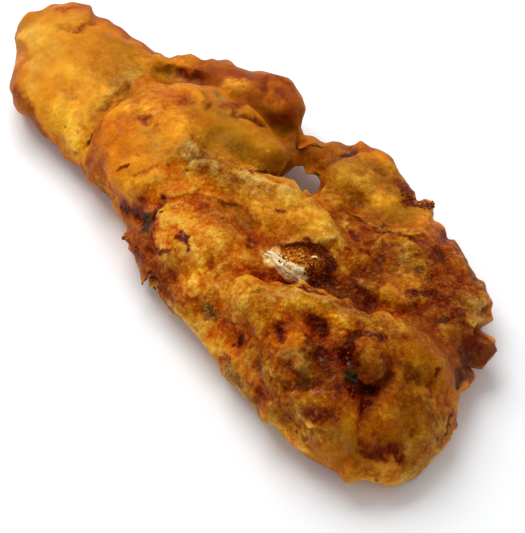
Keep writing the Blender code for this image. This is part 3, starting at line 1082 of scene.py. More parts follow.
MOUND_MARKS = table(
    Mark,
    # A crease under the mound's upper edge, darkened by this stroke and the next: partly its own brown, partly
    # painted shadow.
    (OCHRE, 7, 0.5, -0.5, 199, 191, 210, 198, 222, 203, 236, 205),
    (BROWN, 4, 0.5, -0.4, 222, 203, 230, 205, 238, 206, FIRM),
    (MAROON, 3.5, 0.75, -0.4, 250, 191, 250, 198),
    (BROWN, 5, 0.6, -0.4, 246, 209, 253, 214),
    (SAGE, 7, 0.7, 0.2, 236, 211, 243, 218, 248, 226),
    (SAND, 12, 0.45, 0.2, 230, 190, 248, 182, 262, 190),
    (MAROON, 3.5, 0.85, -0.3, 276, 213, 281, 211, 286, 213, FIRM),
    (ORANGE, 4, 0.6, 0.2, 281, 214),
    (SUNNY, 20, 0.6, 0.3, 308, 212, 322, 218, 318, 228),
    (SUNNY, 8, 0.5, 0.3, 328, 238, 320, 232),
    (SAND, 6, 0.75, 0.4, 330, 197, 338, 206, 344, 216, 345, 226),
    (SAND, 6, 0.5, 0.3, 292, 190, 304, 193, 318, 197),
    (RUSSET, 4, 0.5, -0.4, 304, 205, 311, 201),
    (OCHRE, 12, 0.5, 0, 262, 222, 276, 228, 290, 234),
    (ORANGE, 12, 0.5, 0, 281, 233, 270, 240, 262, 236),
    (ORANGE, 10, 0.45, 0, 290, 222, 282, 228),
    (MAROON, 5, 0.8, -0.3, 249, 239, 255, 242),
    (MAROON, 4, 0.85, -0.4, 250, 248, 254, 249, FIRM),
    (RUSSET, 11, 0.6, -0.2, 258, 240, 272, 244, 284, 242),
    (CHAR, 3, 0.8, -0.3, 262, 256),
    (PALE, 4, 0.4, 0.2, 300, 235, 310, 237, 322, 241),
)

FLANK_MARKS = table(
    Mark,
    (GOLD, 20, 0.5, 0.2, 180, 212, 190, 222),
    (SUNNY, 9, 0.5, 0.3, 126, 187, 134, 193, 142, 190),
    (MAROON, 8, 0.8, -0.2, 121, 206, 129, 209, 133, 212),
    (MAROON, 8, 0.85, -0.2, 143, 199, 141, 209, 137, 218),
    (MAROON, 10, 0.9, -0.4, 138, 216, 146, 219, 155, 215),
    (CHAR, 4, 0.7, -0.2, 140, 214, 145, 218),
    (MAROON, 7, 0.9, -0.3, 155, 212, 162, 204, 165, 196),
    (CHAR, 4, 0.8, -0.4, 161, 206, 157, 211),
    (MAROON, 18, 0.8, 0, 146, 214, 149, 226),
    (ORANGE, 8, 0.6, 0.2, 151, 205, 148, 210),
    (BROWN, 9, 0.75, 0, 124, 214, 128, 224, 130, 234),
    (ORANGE, 8, 0.5, 0, 132, 222, 136, 230),
    (MAROON, 5, 0.9, -0.9, 180, 233, 184, 240, 186, 248, FIRM),
    (CHAR, 3, 0.7, -0.4, 184, 238, 186, 244, FIRM),
    (MAROON, 4, 0.85, -0.3, 145, 249, 154, 252, 164, 252, 173, 250, FIRM),
    (RUSSET, 24, 0.68, 0, 134, 240, 142, 258, 154, 276, 170, 298),
    (MAROON, 13, 0.5, -0.1, 128, 238, 138, 254, 146, 268),
    (MAROON, 10, 0.42, -0.2, 152, 270, 160, 284, 170, 298),
    (MAROON, 16, 0.6, 0, 126, 206, 142, 214, 152, 222),
    (RUSSET, 22, 0.55, 0, 140, 200, 150, 226, 134, 232),
    (RUSSET, 13, 0.55, 0, 166, 264, 176, 282, 182, 296),
    (AMBER, 6, 0.6, 0, 144, 278, 143, 285),
    (ORANGE, 10, 0.5, 0, 168, 240, 178, 256, 192, 256),
    # Painted highlight: a bright amber glow on the flank.
    (SUNNY, 11, 0.6, 0.3, 200, 262, 198, 272, 194, 282),
    (SUNNY, 9, 0.4, 0.3, 180, 276, 186, 286, 200, 292),
    (BROWN, 6, 0.55, -0.3, 209, 256, 212, 264),
    (ORANGE, 14, 0.6, -0.2, 232, 270, 248, 272, 262, 277),
    (RUSSET, 6, 0.75, -0.5, 182, 301, 194, 299, 206, 295),
    (CHAR, 5, 0.7, -0.4, 170, 302, 172, 306),
    (PALE, 7, 0.6, 0.3, 217, 286, 222, 291),
    (CREAM, 5, 0.6, 0.3, 244, 289, 249, 292),
    (SAND, 8, 0.5, 0.2, 228, 296, 236, 300),
    (SAND, 8, 0.45, 0.2, 211, 210, 224, 216, 234, 226),
    (MAROON, 3, 0.6, -0.3, 237, 228, 232, 222),
    (OCHRE, 12, 0.4, 0, 218, 276, 224, 262),
    (SOOT, 11, 1.1, 0.3, 147, 221, 147, 226),
    # Painted highlight: a light grey glint on the black spot above.
    (ASH, 3, 0.9, 0.3, 147, 223),
)

TEAR_MARKS = table(
    Mark,
    (RUSSET, 12, 0.7, -0.3, 262, 272, 276, 281, 290, 285),
    (ORANGE, 10, 0.6, 0.2, 262, 262, 270, 268, 278, 275),
    (MAROON, 6, 0.95, 0.1, 289, 246, 302, 243, 314, 246, 324, 250, FIRM),
    (MAROON, 7, 0.95, 0, 324, 250, 331, 259, 331, 268, 324, 279, FIRM),
    (CREAM, 9, 0.7, 0, 287, 258, 298, 258, 308, 262),
    (ORANGE, 10, 0.7, 0.1, 289, 254, 299, 253, 311, 259, FIRM),
    (GOLD, 9, 0.6, 0, 288, 258, 300, 259),
    (RUSSET, 7, 0.75, -0.1, 304, 249, 316, 255, 320, 264),
    (ORANGE, 4, 0.5, 0, 286, 255, 294, 252, 300, 254),
    (CREAM, 11, 0.98, 0, 272, 256, 279, 261, 285, 268, 296, 273, 304, 276, FIRM),
    (CREAM, 7, 0.9, 0, 292, 276, 300, 279, FIRM),
    (CREAM, 7, 0.8, 0, 263, 253, 271, 257),
    (GOLD, 4, 0.7, 0, 290, 269, 298, 268),
    (SAND, 5, 0.8, 0.2, 311, 257, 318, 258),
    (MAROON, 6, 0.8, 0, 313, 272, 315, 281, 319, 268),
    (MAROON, 4, 0.75, -0.4, 285, 281, 291, 282),
    (MAROON, 4, 0.85, -0.9, 280, 277, 292, 284, 304, 288, 314, 291, 324, 295, FIRM),
    (BROWN, 14, 0.75, -0.3, 318, 285, 332, 291, 344, 298),
    (RUSSET, 16, 0.75, -0.2, 346, 282, 356, 292, 366, 300, 352, 304),
    (MAROON, 7, 0.7, -0.3, 349, 277, 355, 284, 362, 290),
)

RIGHT_MARKS = table(
    Mark,
    (MAROON, 6, 0.85, -0.5, 352, 233, 355, 238, FIRM),
    (CHAR, 3.5, 0.85, -0.4, 354, 237),
    (MAROON, 5, 0.7, -0.3, 345, 246, 350, 248),
    (MAROON, 5, 0.65, -0.3, 362, 228, 367, 232),
    (MAROON, 5, 0.75, -0.3, 363, 249, 368, 251),
    (SAND, 7, 0.6, 0.4, 380, 247, 384, 251),
    (MAROON, 6, 0.6, -0.3, 377, 258, 381, 261),
    (OCHRE, 12, 0.4, 0, 396, 250, 404, 262),
    (SAGE, 9, 0.5, 0.2, 398, 246, 404, 254, 398, 264),
    (ORANGE, 12, 0.6, 0.2, 384, 270, 396, 280, 410, 278),
    (RUSSET, 10, 0.6, -0.2, 360, 268, 368, 278, 378, 284),
    (MAROON, 8, 0.55, 0, 425, 248, 432, 256, 438, 252),
    (RUSSET, 9, 0.6, 0, 428, 244, 438, 244, 446, 250),
    (CHAR, 5, 0.9, -0.4, 440, 255, 442, 257, FIRM),
    (OLIVE, 5, 0.5, -0.2, 437, 262, 432, 266),
    (CHAR, 4, 0.8, -0.4, 426, 264),
    (CHAR, 4, 0.75, -0.4, 418, 269, 420, 266),
    (SAGE, 9, 0.45, 0.2, 424, 274, 430, 282),
    (BROWN, 8, 0.8, 0, 474, 280, 480, 286, FIRM),
    (ORANGE, 12, 0.4, 0, 452, 262, 462, 274),
    (SAND, 8, 0.4, 0.3, 444, 278, 452, 286),
    (MAROON, 6, 0.95, -0.5, 410, 294, 414, 292, FIRM),
    (MAROON, 5, 0.85, -0.4, 416, 291, 424, 293, 434, 294, FIRM),
    (GOLD, 14, 0.65, 0.3, 386, 294, 396, 299, 404, 302),
    (GOLD, 7, 0.5, 0.3, 418, 301, 424, 298),
    (RUSSET, 4, 0.7, -0.6, 383, 316, 389, 313, 393, 311, FIRM),
    (CREAM, 2.5, 0.7, 0.3, 389, 322),
    (SAND, 12, 0.4, 0.1, 400, 322, 420, 318, 430, 312),
    (CHAR, 6, 0.85, -0.5, 440, 320, 446, 319, FIRM),
    (MAROON, 7, 0.8, -0.3, 455, 315, 461, 313, FIRM),
    (SAND, 5, 0.75, 0.4, 455, 303, 461, 305),
    (CREAM, 3, 0.6, 0.2, 474, 293),
    (SAND, 7, 0.55, 0.4, 479, 311),
    (ORANGE, 5, 0.7, 0, 486, 298, 489, 306, 488, 318),
    (MAROON, 5, 0.6, -0.4, 462, 322, 470, 326),
    (RUSSET, 8, 0.4, 0, 470, 296, 462, 292),
    # Painted shade: this stroke and the next darken the right rim.
    (BROWN, 11, 0.85, 0, 440, 229, 457, 246, 472, 268, 484, 285),
    (MAROON, 6, 0.6, 0, 444, 232, 460, 247, 474, 269, 486, 285),
    (SAND, 17, 0.75, 0.2, 472, 300, 481, 308, 474, 317),
    (BROWN, 16, 0.85, 0, 470, 336, 484, 341, 490, 351, 480, 361),
    (CHAR, 9, 0.6, 0, 472, 346, 482, 352),
    (SAGE, 9, 0.6, 0.2, 470, 340, 478, 344),
)

HEAD_MARKS = table(
    Mark,
    (SAND, 8, 0.75, 0.3, 264, 298, 280, 297, 296, 293, 312, 294, 324, 297, 338, 303, 350, 310),
    (SAND, 9, 0.45, 0.2, 352, 312, 366, 322, 378, 330),
    (SUNNY, 12, 0.4, 0.2, 284, 304, 306, 304, 330, 312),
    (SAND, 10, 0.65, 0, 258, 291, 284, 288, 305, 292, 324, 299, 345, 309, 364, 318),
    (PALE, 4, 0.5, 0, 268, 298, 282, 297, 296, 294),
    (RUSSET, 3.5, 0.75, -0.4, 258, 304),
    (MAROON, 3.5, 0.8, -0.4, 269, 312),
    (PALE, 5, 0.55, 0.3, 274, 317, 279, 319),
    (PALE, 5, 0.4, 0.2, 267, 327, 266, 331),
    (AMBER, 9, 0.7, 0.3, 296, 332, 297, 322, 303, 313),
    (MAROON, 10, 0.85, -0.5, 311, 320, 318, 325, 324, 332),
    (RUSSET, 14, 0.6, -0.3, 312, 319, 322, 330),
    (SAND, 3.5, 0.5, 0.3, 315, 317, 319, 320),
    (SUNNY, 8, 0.75, 0.4, 331, 313, 338, 321, 341, 332),
    (CREAM, 3, 0.6, 0.3, 345, 324),
    (MAROON, 6, 0.7, -0.2, 306, 338, 312, 342, 314, 336),
    (SOOT, 3.5, 0.5, -0.2, 309, 345, 314, 344),
    (MAROON, 8, 0.85, -0.6, 279, 327, 283, 330, 281, 338),
    (RUSSET, 6, 0.6, -0.3, 272, 344, 276, 350, 270, 360),
    (OLIVE, 12, 0.8, 0.2, 206, 309, 212, 316, 218, 316),
    (ASH, 5, 0.45, 0.3, 205, 307, 214, 318),
    (CHAR, 3.5, 0.55, -0.4, 211, 312, 217, 318, 209, 306),
    (OLIVE, 6, 0.5, 0.1, 226, 313, 232, 316),
    (ORANGE, 14, 0.75, -0.1, 224, 328, 234, 332, 240, 326),
    (RUSSET, 5, 0.7, -0.4, 222, 326, 234, 323, 243, 323),
    (MAROON, 5, 0.8, -0.5, 236, 346, 240, 341, 243, 337, FIRM),
    (SAGE, 7, 0.4, 0.2, 246, 350, 252, 346, 248, 336),
    (CREAM, 3.5, 0.5, 0.3, 256, 349, 259, 350),
    (HONEY, 14, 0.6, 0.3, 252, 360, 264, 356),
    (ORANGE, 7, 0.5, 0, 240, 362, 246, 372),
    # Painted light: these three strokes brighten the head's lower left rim, as lit from the left and by light
    # thrown up from the floor.
    (PALE, 8, 0.8, 0.2, 170, 304, 178, 314, 190, 328, 204, 342),
    (SUNNY, 6, 0.85, 0.2, 208, 344, 216, 352, 225, 360),
    (PALE, 4, 0.5, 0.3, 221, 350, 224, 355),
    (OLIVE, 9, 0.75, 0.4, 226, 366, 231, 372, FIRM),
    # Painted highlight: a yellow glint on the olive bump.
    (SUNNY, 3, 0.7, 0.2, 229, 374),
    (BROWN, 8, 0.6, 0, 236, 384, 244, 392, 252, 402),
    (MAROON, 6, 0.8, -0.3, 246, 384, 252, 387),
    (MAROON, 6, 0.75, -0.3, 258, 392, 265, 397),
    (SAND, 7, 0.7, 0.3, 267, 368, 273, 370),
    (SAND, 5, 0.5, 0.3, 282, 352, 286, 346),
    (SAGE, 8, 0.6, 0.3, 285, 356, 292, 352),
    (MAROON, 5, 0.8, -0.3, 289, 364, 292, 368),
    (OLIVE, 9, 0.75, 0.3, 300, 356, 305, 364, 300, 370),
    (SOOT, 4, 0.4, -0.3, 298, 352, 303, 350),
    (RUSSET, 7, 0.55, -0.3, 296, 374, 286, 378),
    (MAROON, 7, 0.85, -0.2, 328, 352, 334, 357, 340, 356, FIRM),
    (MAROON, 7, 0.85, -0.3, 344, 352, 348, 345, 352, 338, FIRM),
    (MAROON, 5, 0.8, -0.3, 354, 336, 362, 333, 370, 334, 378, 337),
    (CHAR, 4, 0.7, -0.3, 376, 336, 380, 339),
    (MAROON, 9, 0.75, -0.4, 350, 341, 357, 335, 368, 333, 380, 338),
    (RUSSET, 4, 0.6, -0.5, 384, 340, 396, 339, 408, 337),
    # Painted highlight: a pale glint on a bead.
    (SAND, 4, 0.6, 0.3, 335, 355),
    (SAND, 5, 0.7, 0.3, 353, 346, 360, 348),
    (ORANGE, 7, 0.7, 0.2, 354, 352, 362, 353, 370, 350),
    (OCHRE, 20, 0.95, 0.2, 362, 362, 372, 368, FIRM),
    (RUSSET, 14, 0.7, 0, 376, 376, 370, 380),
    (SAND, 6, 0.4, 0, 360, 354, 368, 352),
    # Painted shade: a dark crescent on the dome's lower right side.
    (BROWN, 7, 0.8, -0.3, 384, 356, 388, 368, 384, 380, 374, 387, 362, 386),
    (SOOT, 7, 0.98, -0.3, 349, 374, 352, 381, FIRM),
    (CHAR, 5, 0.8, -0.4, 354, 384, 360, 387),
    (MAROON, 10, 0.85, -0.6, 354, 394, 362, 398, 364, 406),
    (RUSSET, 8, 0.7, -0.5, 374, 396, 380, 390),
    (RUSSET, 7, 0.7, -0.8, 363, 408, 361, 420, 360, 432),
    (CREAM, 2.2, 0.6, 0.2, 355, 396, 368, 398),
    (MAROON, 6, 0.85, -0.6, 288, 389, 300, 388, 312, 386, FIRM),
    (SUNNY, 3, 0.6, 0.3, 283, 388, 291, 386),
    (BROWN, 7, 0.6, -0.4, 312, 386, 324, 380, 334, 372),
    (HONEY, 18, 0.45, 0.3, 296, 402, 312, 400, 334, 402),
    (MAROON, 8, 0.75, -0.2, 304, 412, 318, 416, 334, 417),
    (MAROON, 4, 0.7, -0.4, 315, 421, 318, 419, FIRM),
    (SUNNY, 6, 0.85, 0.5, 308, 424, 312, 428, FIRM),
    (BROWN, 4.5, 0.75, -0.6, 305, 437, 312, 434, 320, 431, FIRM),
    (RUSSET, 8, 0.5, 0, 322, 440, 312, 446),
    (SAGE, 10, 0.55, 0.1, 338, 438, 344, 446),
    (MAROON, 9, 0.7, -0.3, 362, 450, 370, 453, 380, 455),
    (MAROON, 9, 0.9, -0.3, 394, 453, 400, 459, FIRM),
    (MAROON, 6, 0.5, 0, 382, 456, 392, 455),
    (BROWN, 6, 0.5, 0, 352, 462, 360, 466),
    (SAGE, 4, 0.75, 0.2, 406, 439, 408, 445),
    (GOLD, 14, 0.5, 0.2, 380, 408, 384, 416, 378, 424),
    (ORANGE, 13, 0.5, 0, 378, 430, 388, 432, 398, 428),
    (GOLD, 14, 0.35, 0.2, 398, 352, 404, 364),
    (ORANGE, 11, 0.4, 0, 408, 352, 418, 356),
    (SAND, 10, 0.35, 0.2, 424, 376, 418, 366),
    (MAROON, 4, 0.85, -0.5, 438, 369, 438, 375, FIRM),
    (BROWN, 3.5, 0.8, -0.6, 419, 399, 426, 397, 431, 395, FIRM),
    (BROWN, 4.5, 0.7, -0.4, 421, 416, 421, 422),
    (BROWN, 4.5, 0.75, -0.4, 413, 430, 414, 437),
    (BROWN, 6, 0.55, -0.3, 433, 434, 438, 438),
    (SAGE, 7, 0.35, 0.1, 428, 432, 424, 440),
    (ORANGE, 12, 0.4, 0, 430, 404, 440, 412),
    (CHAR, 13, 0.85, 0, 462, 352, 466, 366, 460, 378, FIRM),
    (MAROON, 14, 0.85, 0, 472, 344, 480, 356, 470, 372, FIRM),
    (BROWN, 9, 0.7, 0.2, 484, 344, 489, 350),
    # Painted highlights: grey glints on the burnt knob.
    (ASH, 5, 0.35, 0.2, 472, 350, 478, 356),
    (ASH, 3, 0.35, 0.1, 486, 352, 482, 362),
    (SOOT, 5, 0.85, 0, 457, 386, 461, 384, FIRM),
    (AMBER, 6, 0.8, 0.2, 466, 386, 468, 382),
    (MAROON, 8, 0.6, 0, 452, 344, 454, 336),
    (RUSSET, 9, 0.8, 0, 452, 420, 455, 428, 450, 434),
    (MAROON, 7, 0.6, 0, 455, 416, 457, 426, 453, 435),
    (RUSSET, 8, 0.6, 0, 446, 396, 452, 406, 450, 414),
    (ORANGE, 7, 0.85, 0.1, 268, 428, 280, 436, 294, 444, 304, 450),
    (AMBER, 6, 0.6, 0, 312, 458, 326, 466, 340, 472),
    (SUNNY, 9, 0.6, 0.1, 272, 424, 286, 436, 306, 450),
    (BROWN, 7, 0.5, -0.2, 330, 470, 344, 474),
    (HONEY, 9, 0.5, 0, 355, 478, 370, 480, 390, 476),
    (SOOT, 4, 0.85, 0, 377, 481),
    (OLIVE, 12, 0.35, 0, 404, 474, 420, 462),
    (OCHRE, 28, 0.7, 0, 252, 350, 262, 364, 272, 376),
    (OCHRE, 24, 0.6, 0, 270, 404, 292, 404, 312, 402),
    (BROWN, 16, 0.45, 0, 272, 414, 300, 412),
    (SAGE, 12, 0.65, 0.3, 282, 352, 292, 352),
    (SAND, 10, 0.7, 0.2, 268, 366, 274, 370),
    (BROWN, 5, 0.7, -0.5, 280, 362, 288, 368, 294, 364),
    # A hollow between the knobs, darkened by this patch and the next: partly its own olive and brown, partly
    # painted shade.
    (OLIVE, 20, 0.75, 0, 305, 354, 308, 368, 306, 380),
    (BROWN, 20, 0.6, 0, 324, 360, 333, 376, 340, 390),
    (RUSSET, 6, 0.65, -0.4, 264, 394, 284, 396, 304, 396, 320, 392, 336, 386),
    (BROWN, 7, 0.6, -0.4, 318, 352, 322, 366, 319, 380),
    (MAROON, 14, 0.5, 0, 308, 410, 322, 414, 336, 418),
    (SAGE, 15, 0.5, 0.1, 336, 432, 344, 448),
    (MAROON, 12, 0.7, -0.2, 363, 446, 372, 451, 384, 454),
    (MAROON, 14, 0.75, -0.2, 396, 450, 400, 461),
    (RUSSET, 14, 0.5, 0, 372, 440, 388, 446, 402, 444),
    (RUSSET, 26, 0.6, 0, 350, 392, 364, 397, 376, 392),
    # Partly the maroon under the dome, partly painted shade along its lower rim.
    (MAROON, 14, 0.6, -0.2, 348, 388, 362, 392, 377, 387),
    (MAROON, 9, 0.75, -0.3, 318, 347, 328, 354, 344, 358),
    (RUSSET, 20, 0.45, 0, 322, 346, 340, 360),
    (BROWN, 12, 0.4, -0.2, 404, 366, 412, 378, 428, 384),
    (BROWN, 10, 0.4, -0.2, 418, 402, 428, 414, 436, 424),
    (BROWN, 11, 0.9, 0, 476, 334, 486, 340, 492, 350, 486, 359, 477, 367, FIRM),
    (MAROON, 5, 0.7, 0, 480, 334, 491, 341, 496, 350, 488, 360, 479, 368),
    (BROWN, 8, 0.85, 0, 456, 417, 458, 425, 453, 433, FIRM),
    (MAROON, 4, 0.85, -0.8, 452, 416, 448, 425, 446, 434, FIRM),
    (MAROON, 4, 0.7, 0, 457, 418, 459, 426, 455, 433),
    (MAROON, 11, 0.75, 0, 460, 350, 465, 364, 459, 382),
)

DARK_CLUSTERS = table(
    Cluster,
    (WINE, 150, 0.10, 0.26, 4, 289, 246, 302, 243, 314, 246, 324, 250, 330, 258, 332, 266),
    (WINE, 90, 0.10, 0.26, 5, 322, 262, 324, 273, 321, 282),
    (WINE, 60, 0.10, 0.22, 7, 304, 251, 312, 257, 315, 267),
    (SPARK, 260, 0.08, 0.24, 7, 284, 258, 291, 254, 300, 256, 307, 262),
    (RED, 44, 0.20, 0.40, 6, 284, 260, 294, 265, 306, 270),
    (RED, 120, 0.08, 0.24, 6, 286, 250, 300, 249, 314, 253, 320, 262),
    (RED, 60, 0.08, 0.22, 5, 314, 270, 316, 280),
    (RED, 14, 0.2, 0.32, 2.5, 283, 270, 290, 270),
    (RED, 14, 0.2, 0.36, 3, 313, 272, 315, 279),
    (RED, 40, 0.12, 0.26, 3, 146, 250, 156, 252, 166, 252, 173, 250),
    (RED, 12, 0.12, 0.28, 9, 307, 320, 317, 328, 321, 336),
    (RED, 14, 0.16, 0.34, 6, 326, 354, 334, 357, 344, 355),
    (RED, 10, 0.12, 0.28, 10, 352, 396, 362, 400),
    (DARK, 34, 0.12, 0.26, 5, 408, 294, 420, 292, 432, 294),
    (DARK, 40, 0.16, 0.34, 5, 405, 190, 410, 202, 422, 206, 430, 204),
    (WINE, 30, 0.14, 0.34, 6, 124, 208, 134, 214, 147, 220, 158, 210),
    (DARK, 22, 0.18, 0.46, 7, 127, 236, 138, 254, 148, 270, 160, 292),
)

LIGHT_CLUSTERS = table(
    Cluster,
    (OWN, 420, 0.07, 0.17, 6, 262, 290, 285, 286, 305, 291, 325, 300, 350, 311, 380, 322),
    (OWN, 70, 0.12, 0.26, 9, 207, 310, 214, 318),
    (OWN, 120, 0.08, 0.20, 16, 380, 246, 402, 250, 430, 276),
    (OWN, 120, 0.08, 0.20, 14, 446, 300, 472, 306, 482, 318),
    (OWN, 60, 0.08, 0.22, 10, 284, 354, 292, 362),
    (OWN, 50, 0.08, 0.20, 9, 252, 350, 262, 358),
    (OWN, 120, 0.06, 0.14, 34, 190, 215, 205, 245, 215, 280),
    (OWN, 140, 0.06, 0.14, 44, 240, 330, 280, 380, 330, 420),
    (OWN, 80, 0.06, 0.14, 40, 390, 300, 410, 360, 400, 420),
    (OWN, 50, 0.08, 0.18, 10, 178, 160, 205, 164, 240, 172),
)

FIBRES = table(
    Fibre,
    (3.2, 264, 254, 269, 256, 274, 258),
    (6.0, 270, 253, 276, 260, 281, 267, 286, 271),
    (6.0, 274, 254, 280, 262, 286, 268),
    (6.4, 279, 264, 288, 270, 297, 272, 307, 273),
    (6.4, 283, 269, 292, 275, 300, 278, 307, 279),
    (6.0, 288, 273, 296, 279, 303, 282),
    (2.4, 311, 258, 315, 257, 318, 259),
    (3.0, 267, 252, 272, 253, 276, 256),
    (4.4, 281, 259, 286, 264, 292, 267),
    (3.6, 292, 266, 299, 268, 305, 269),
    (6.0, 284, 262, 292, 266, 300, 268),
    (6.4, 287, 266, 296, 270, 306, 272),
    (6.0, 276, 262, 284, 270, 292, 277),
)

MARKS = (BROAD_MARKS + TAIL_MARKS + MIDDLE_MARKS + BACK_MARKS + FLAP_MARKS + MOUND_MARKS + FLANK_MARKS
         + TEAR_MARKS + RIGHT_MARKS + HEAD_MARKS)


@dataclass
class Crust:
    """The fried batter over the whole tender.

    It can't be a grid of two parameters, because it folds over itself and has a gap through it, so it is
    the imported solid's own surface laid out anew in small even faces. Its relief and colour are formulas over
    whole arrays.

    Attributes:
        camera: the photograph's camera, which places the marks.
        noise: the pattern that the relief and the colour are drawn from.
        face_mm: edge of its faces on the upper side.
        most_triangles: faces that it may have.
        smoothing_rounds: rounds that even out the solid's own facets.
        melting_rounds: rounds that even out the melted seams.
        ledge_step: pixels right of its path where a ledge is lowest, and where it is highest.
        ledge_end: pixels over which a ledge fades at each end.
        strip_path_mm: places in plan of the rim behind the gap, which stands off the floor.
        strip_reach_mm: distance from that path to where it lies on the floor.
        strip_roof_mm: height over which the strip keeps its shape.
        strip_share: how much of its depth under that height is taken away.
        waves: broad waves of the batter.
        crags: sharp wrinkles.
        beads: round beads.
        flakes: flakes that step at the beads' cells.
        grains: the finest grains.
        pits: sparse pits.
        broad_reach: reach in pixels from which on a mark's stain isn't broken up.
        hollow_rounds: rounds of evening that find narrow, wide and broad hollows.
        finish: the batter's finish.
        shell: its arrays, once it has its relief.
        placed: each mark with its path and reach on the crust.
        wander: its vertices moved by noise, which gives marks and blotches ragged edges.
        patchy: how far small marks hold at each vertex, which breaks them up.
        grit: how rough the batter is at each vertex.
        colours: its colour at each vertex.
    """

    camera: PhotoCamera
    noise: NoiseField = NoiseField(41)
    face_mm: float = 0.34
    most_triangles: int = 194000
    smoothing_rounds: int = 14
    melting_rounds: int = 400
    ledge_step: tuple[float, float] = (-1.5, 2.5)
    ledge_end: float = 14.0
    strip_path_mm: tuple[Pixel, ...] = ((-12, 19), (-7, 18), (-2, 17), (2, 16))
    strip_reach_mm: float = 8.0
    strip_roof_mm: float = 8.0
    strip_share: float = 0.55
    waves: Bumps = Bumps(8.0, 0.32)
    crags: Bumps = Bumps(4.6, 0.24)
    beads: Bumps = Bumps(2.7, 0.30)
    flakes: Bumps = Bumps(2.7, 0.12)
    grains: Bumps = Bumps(1.15, 0.22)
    pits: Bumps = Bumps(3.6, 0.35)
    broad_reach: float = 16.0
    hollow_rounds: tuple[int, int, int] = (5, 40, 260)
    finish: FryFinish = field(default_factory=FryFinish)
    shell: ShellMesh = field(init=False)
    placed: list[tuple[Mark, Array, float]] = field(init=False)
    wander: Array = field(init=False)
    patchy: Array = field(init=False)
    grit: Array = field(init=False)
    colours: Array = field(init=False)

    def base_mesh(self) -> bpy.types.Mesh:
        """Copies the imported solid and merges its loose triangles.

        Returns:
            The merged copy.
        """
        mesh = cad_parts[NODE].data.copy()
        shell = bmesh.new()
        shell.from_mesh(mesh)
        bmesh.ops.remove_doubles(shell, verts=shell.verts, dist=0.001 * MM)
        shell.to_mesh(mesh)
        shell.free()
        mesh.materials.clear()
        return mesh

    def settle(self, piece: bpy.types.Object) -> bpy.types.Mesh:
        """Turns a piece's modifiers into plain mesh and removes them.

        Args:
            piece: what has the modifiers.

        Returns:
            Its new mesh.
        """
        graph = bpy.context.evaluated_depsgraph_get()
        mesh = bpy.data.meshes.new_from_object(piece.evaluated_get(graph))
        piece.modifiers.clear()
        piece.data = mesh
        return mesh

    def lay_out(self) -> bpy.types.Object:
        """Rebuilds the surface in even faces, moves its forms, then thins the faces that look to the floor.

        Returns:
            The piece, without its relief yet.
        """
        piece = link("tender_crust", self.base_mesh())
        remesh = piece.modifiers.new("even_faces", "REMESH")
        remesh.mode = "VOXEL"
        remesh.voxel_size = self.face_mm * MM
        remesh.adaptivity = 0.0
        shell = ShellMesh.of(self.settle(piece))
        shell = shell.moved(shell.relaxed(shell.points, self.smoothing_rounds))
        shell = self.sculpt(self.pull(shell))
        under = fade(0.1, -0.5, shell.normals()[:, 2])
        group = piece.vertex_groups.new(name="underside")
        for level in range(1, 11):
            chosen = np.flatnonzero(np.round(under * 10) == level)
            group.add(chosen.tolist(), level / 10.0, "REPLACE")
        thin = piece.modifiers.new("thin_underside", "DECIMATE")
        thin.ratio = self.most_triangles / sum(len(f.vertices) - 2 for f in piece.data.polygons)
        thin.vertex_group = group.name
        self.settle(piece)
        piece.vertex_groups.clear()
        return piece

    def pull(self, shell: ShellMesh) -> ShellMesh:
        """Draws the rim in or out.

        A pull moves what lies along its line of sight by its level move, times a smooth fall over the pixels
        to its reach, and times another that leaves out what is much nearer or farther.

        Args:
            shell: the crust before its relief.

        Returns:
            The crust with its rim moved.
        """
        pixels, depth = self.camera.pixels(shell.points)
        lens = self.camera.lens()
        points = shell.points.copy()
        for pull in PULLS:
            away = np.linalg.norm(pixels - np.array((pull.x, pull.y)), axis=1)
            heart = shell.points[np.argmin(away + 0.05 * depth / MM)]
            ray = self.camera.ray((pull.x + pull.right, pull.y + pull.down))
            base = self.camera.ray((pull.x, pull.y))
            move = ray * (heart[2] - lens[2]) / ray[2] - base * (heart[2] - lens[2]) / base[2]
            behind = np.abs(depth - self.camera.pixels(heart[None])[1][0]) / MM
            points += (fade(pull.reach, 0.0, away) * fade(16.0, 8.0, behind))[:, None] * move
        return shell.moved(points)

    def ledge(self, pixels: Array, patch: Patch) -> Array:
        """Weight of a ledge: a quick step across its path, a slow fall behind it, and a fade at both ends.

        Args:
            pixels: where the points show.
            patch: the ledge.

        Returns:
            A number from 0 to 1 for each point.
        """
        path = np.array(patch.path, float)
        best = np.full(len(pixels), 1e9)
        side, travel = np.zeros(len(pixels)), np.zeros(len(pixels))
        stretches = np.diff(path, axis=0)
        steps = np.linalg.norm(stretches, axis=1)
        for start, along, length, before in zip(path[:-1], stretches, steps, np.cumsum(steps) - steps):
            off = pixels - start
            share = np.clip(off @ along / length ** 2, 0.0, 1.0)
            away = np.linalg.norm(off - share[:, None] * along, axis=1)
            closer = away < best
            best = np.where(closer, away, best)
            side = np.where(closer, np.sign(along[0] * off[:, 1] - along[1] * off[:, 0]), side)
            travel = np.where(closer, before + share * length, travel)
        ends = fade(0.0, self.ledge_end, travel) * fade(0.0, self.ledge_end, steps.sum() - travel)
        return fade(*self.ledge_step, side * best) * fade(patch.reach, 0.0, best) * ends

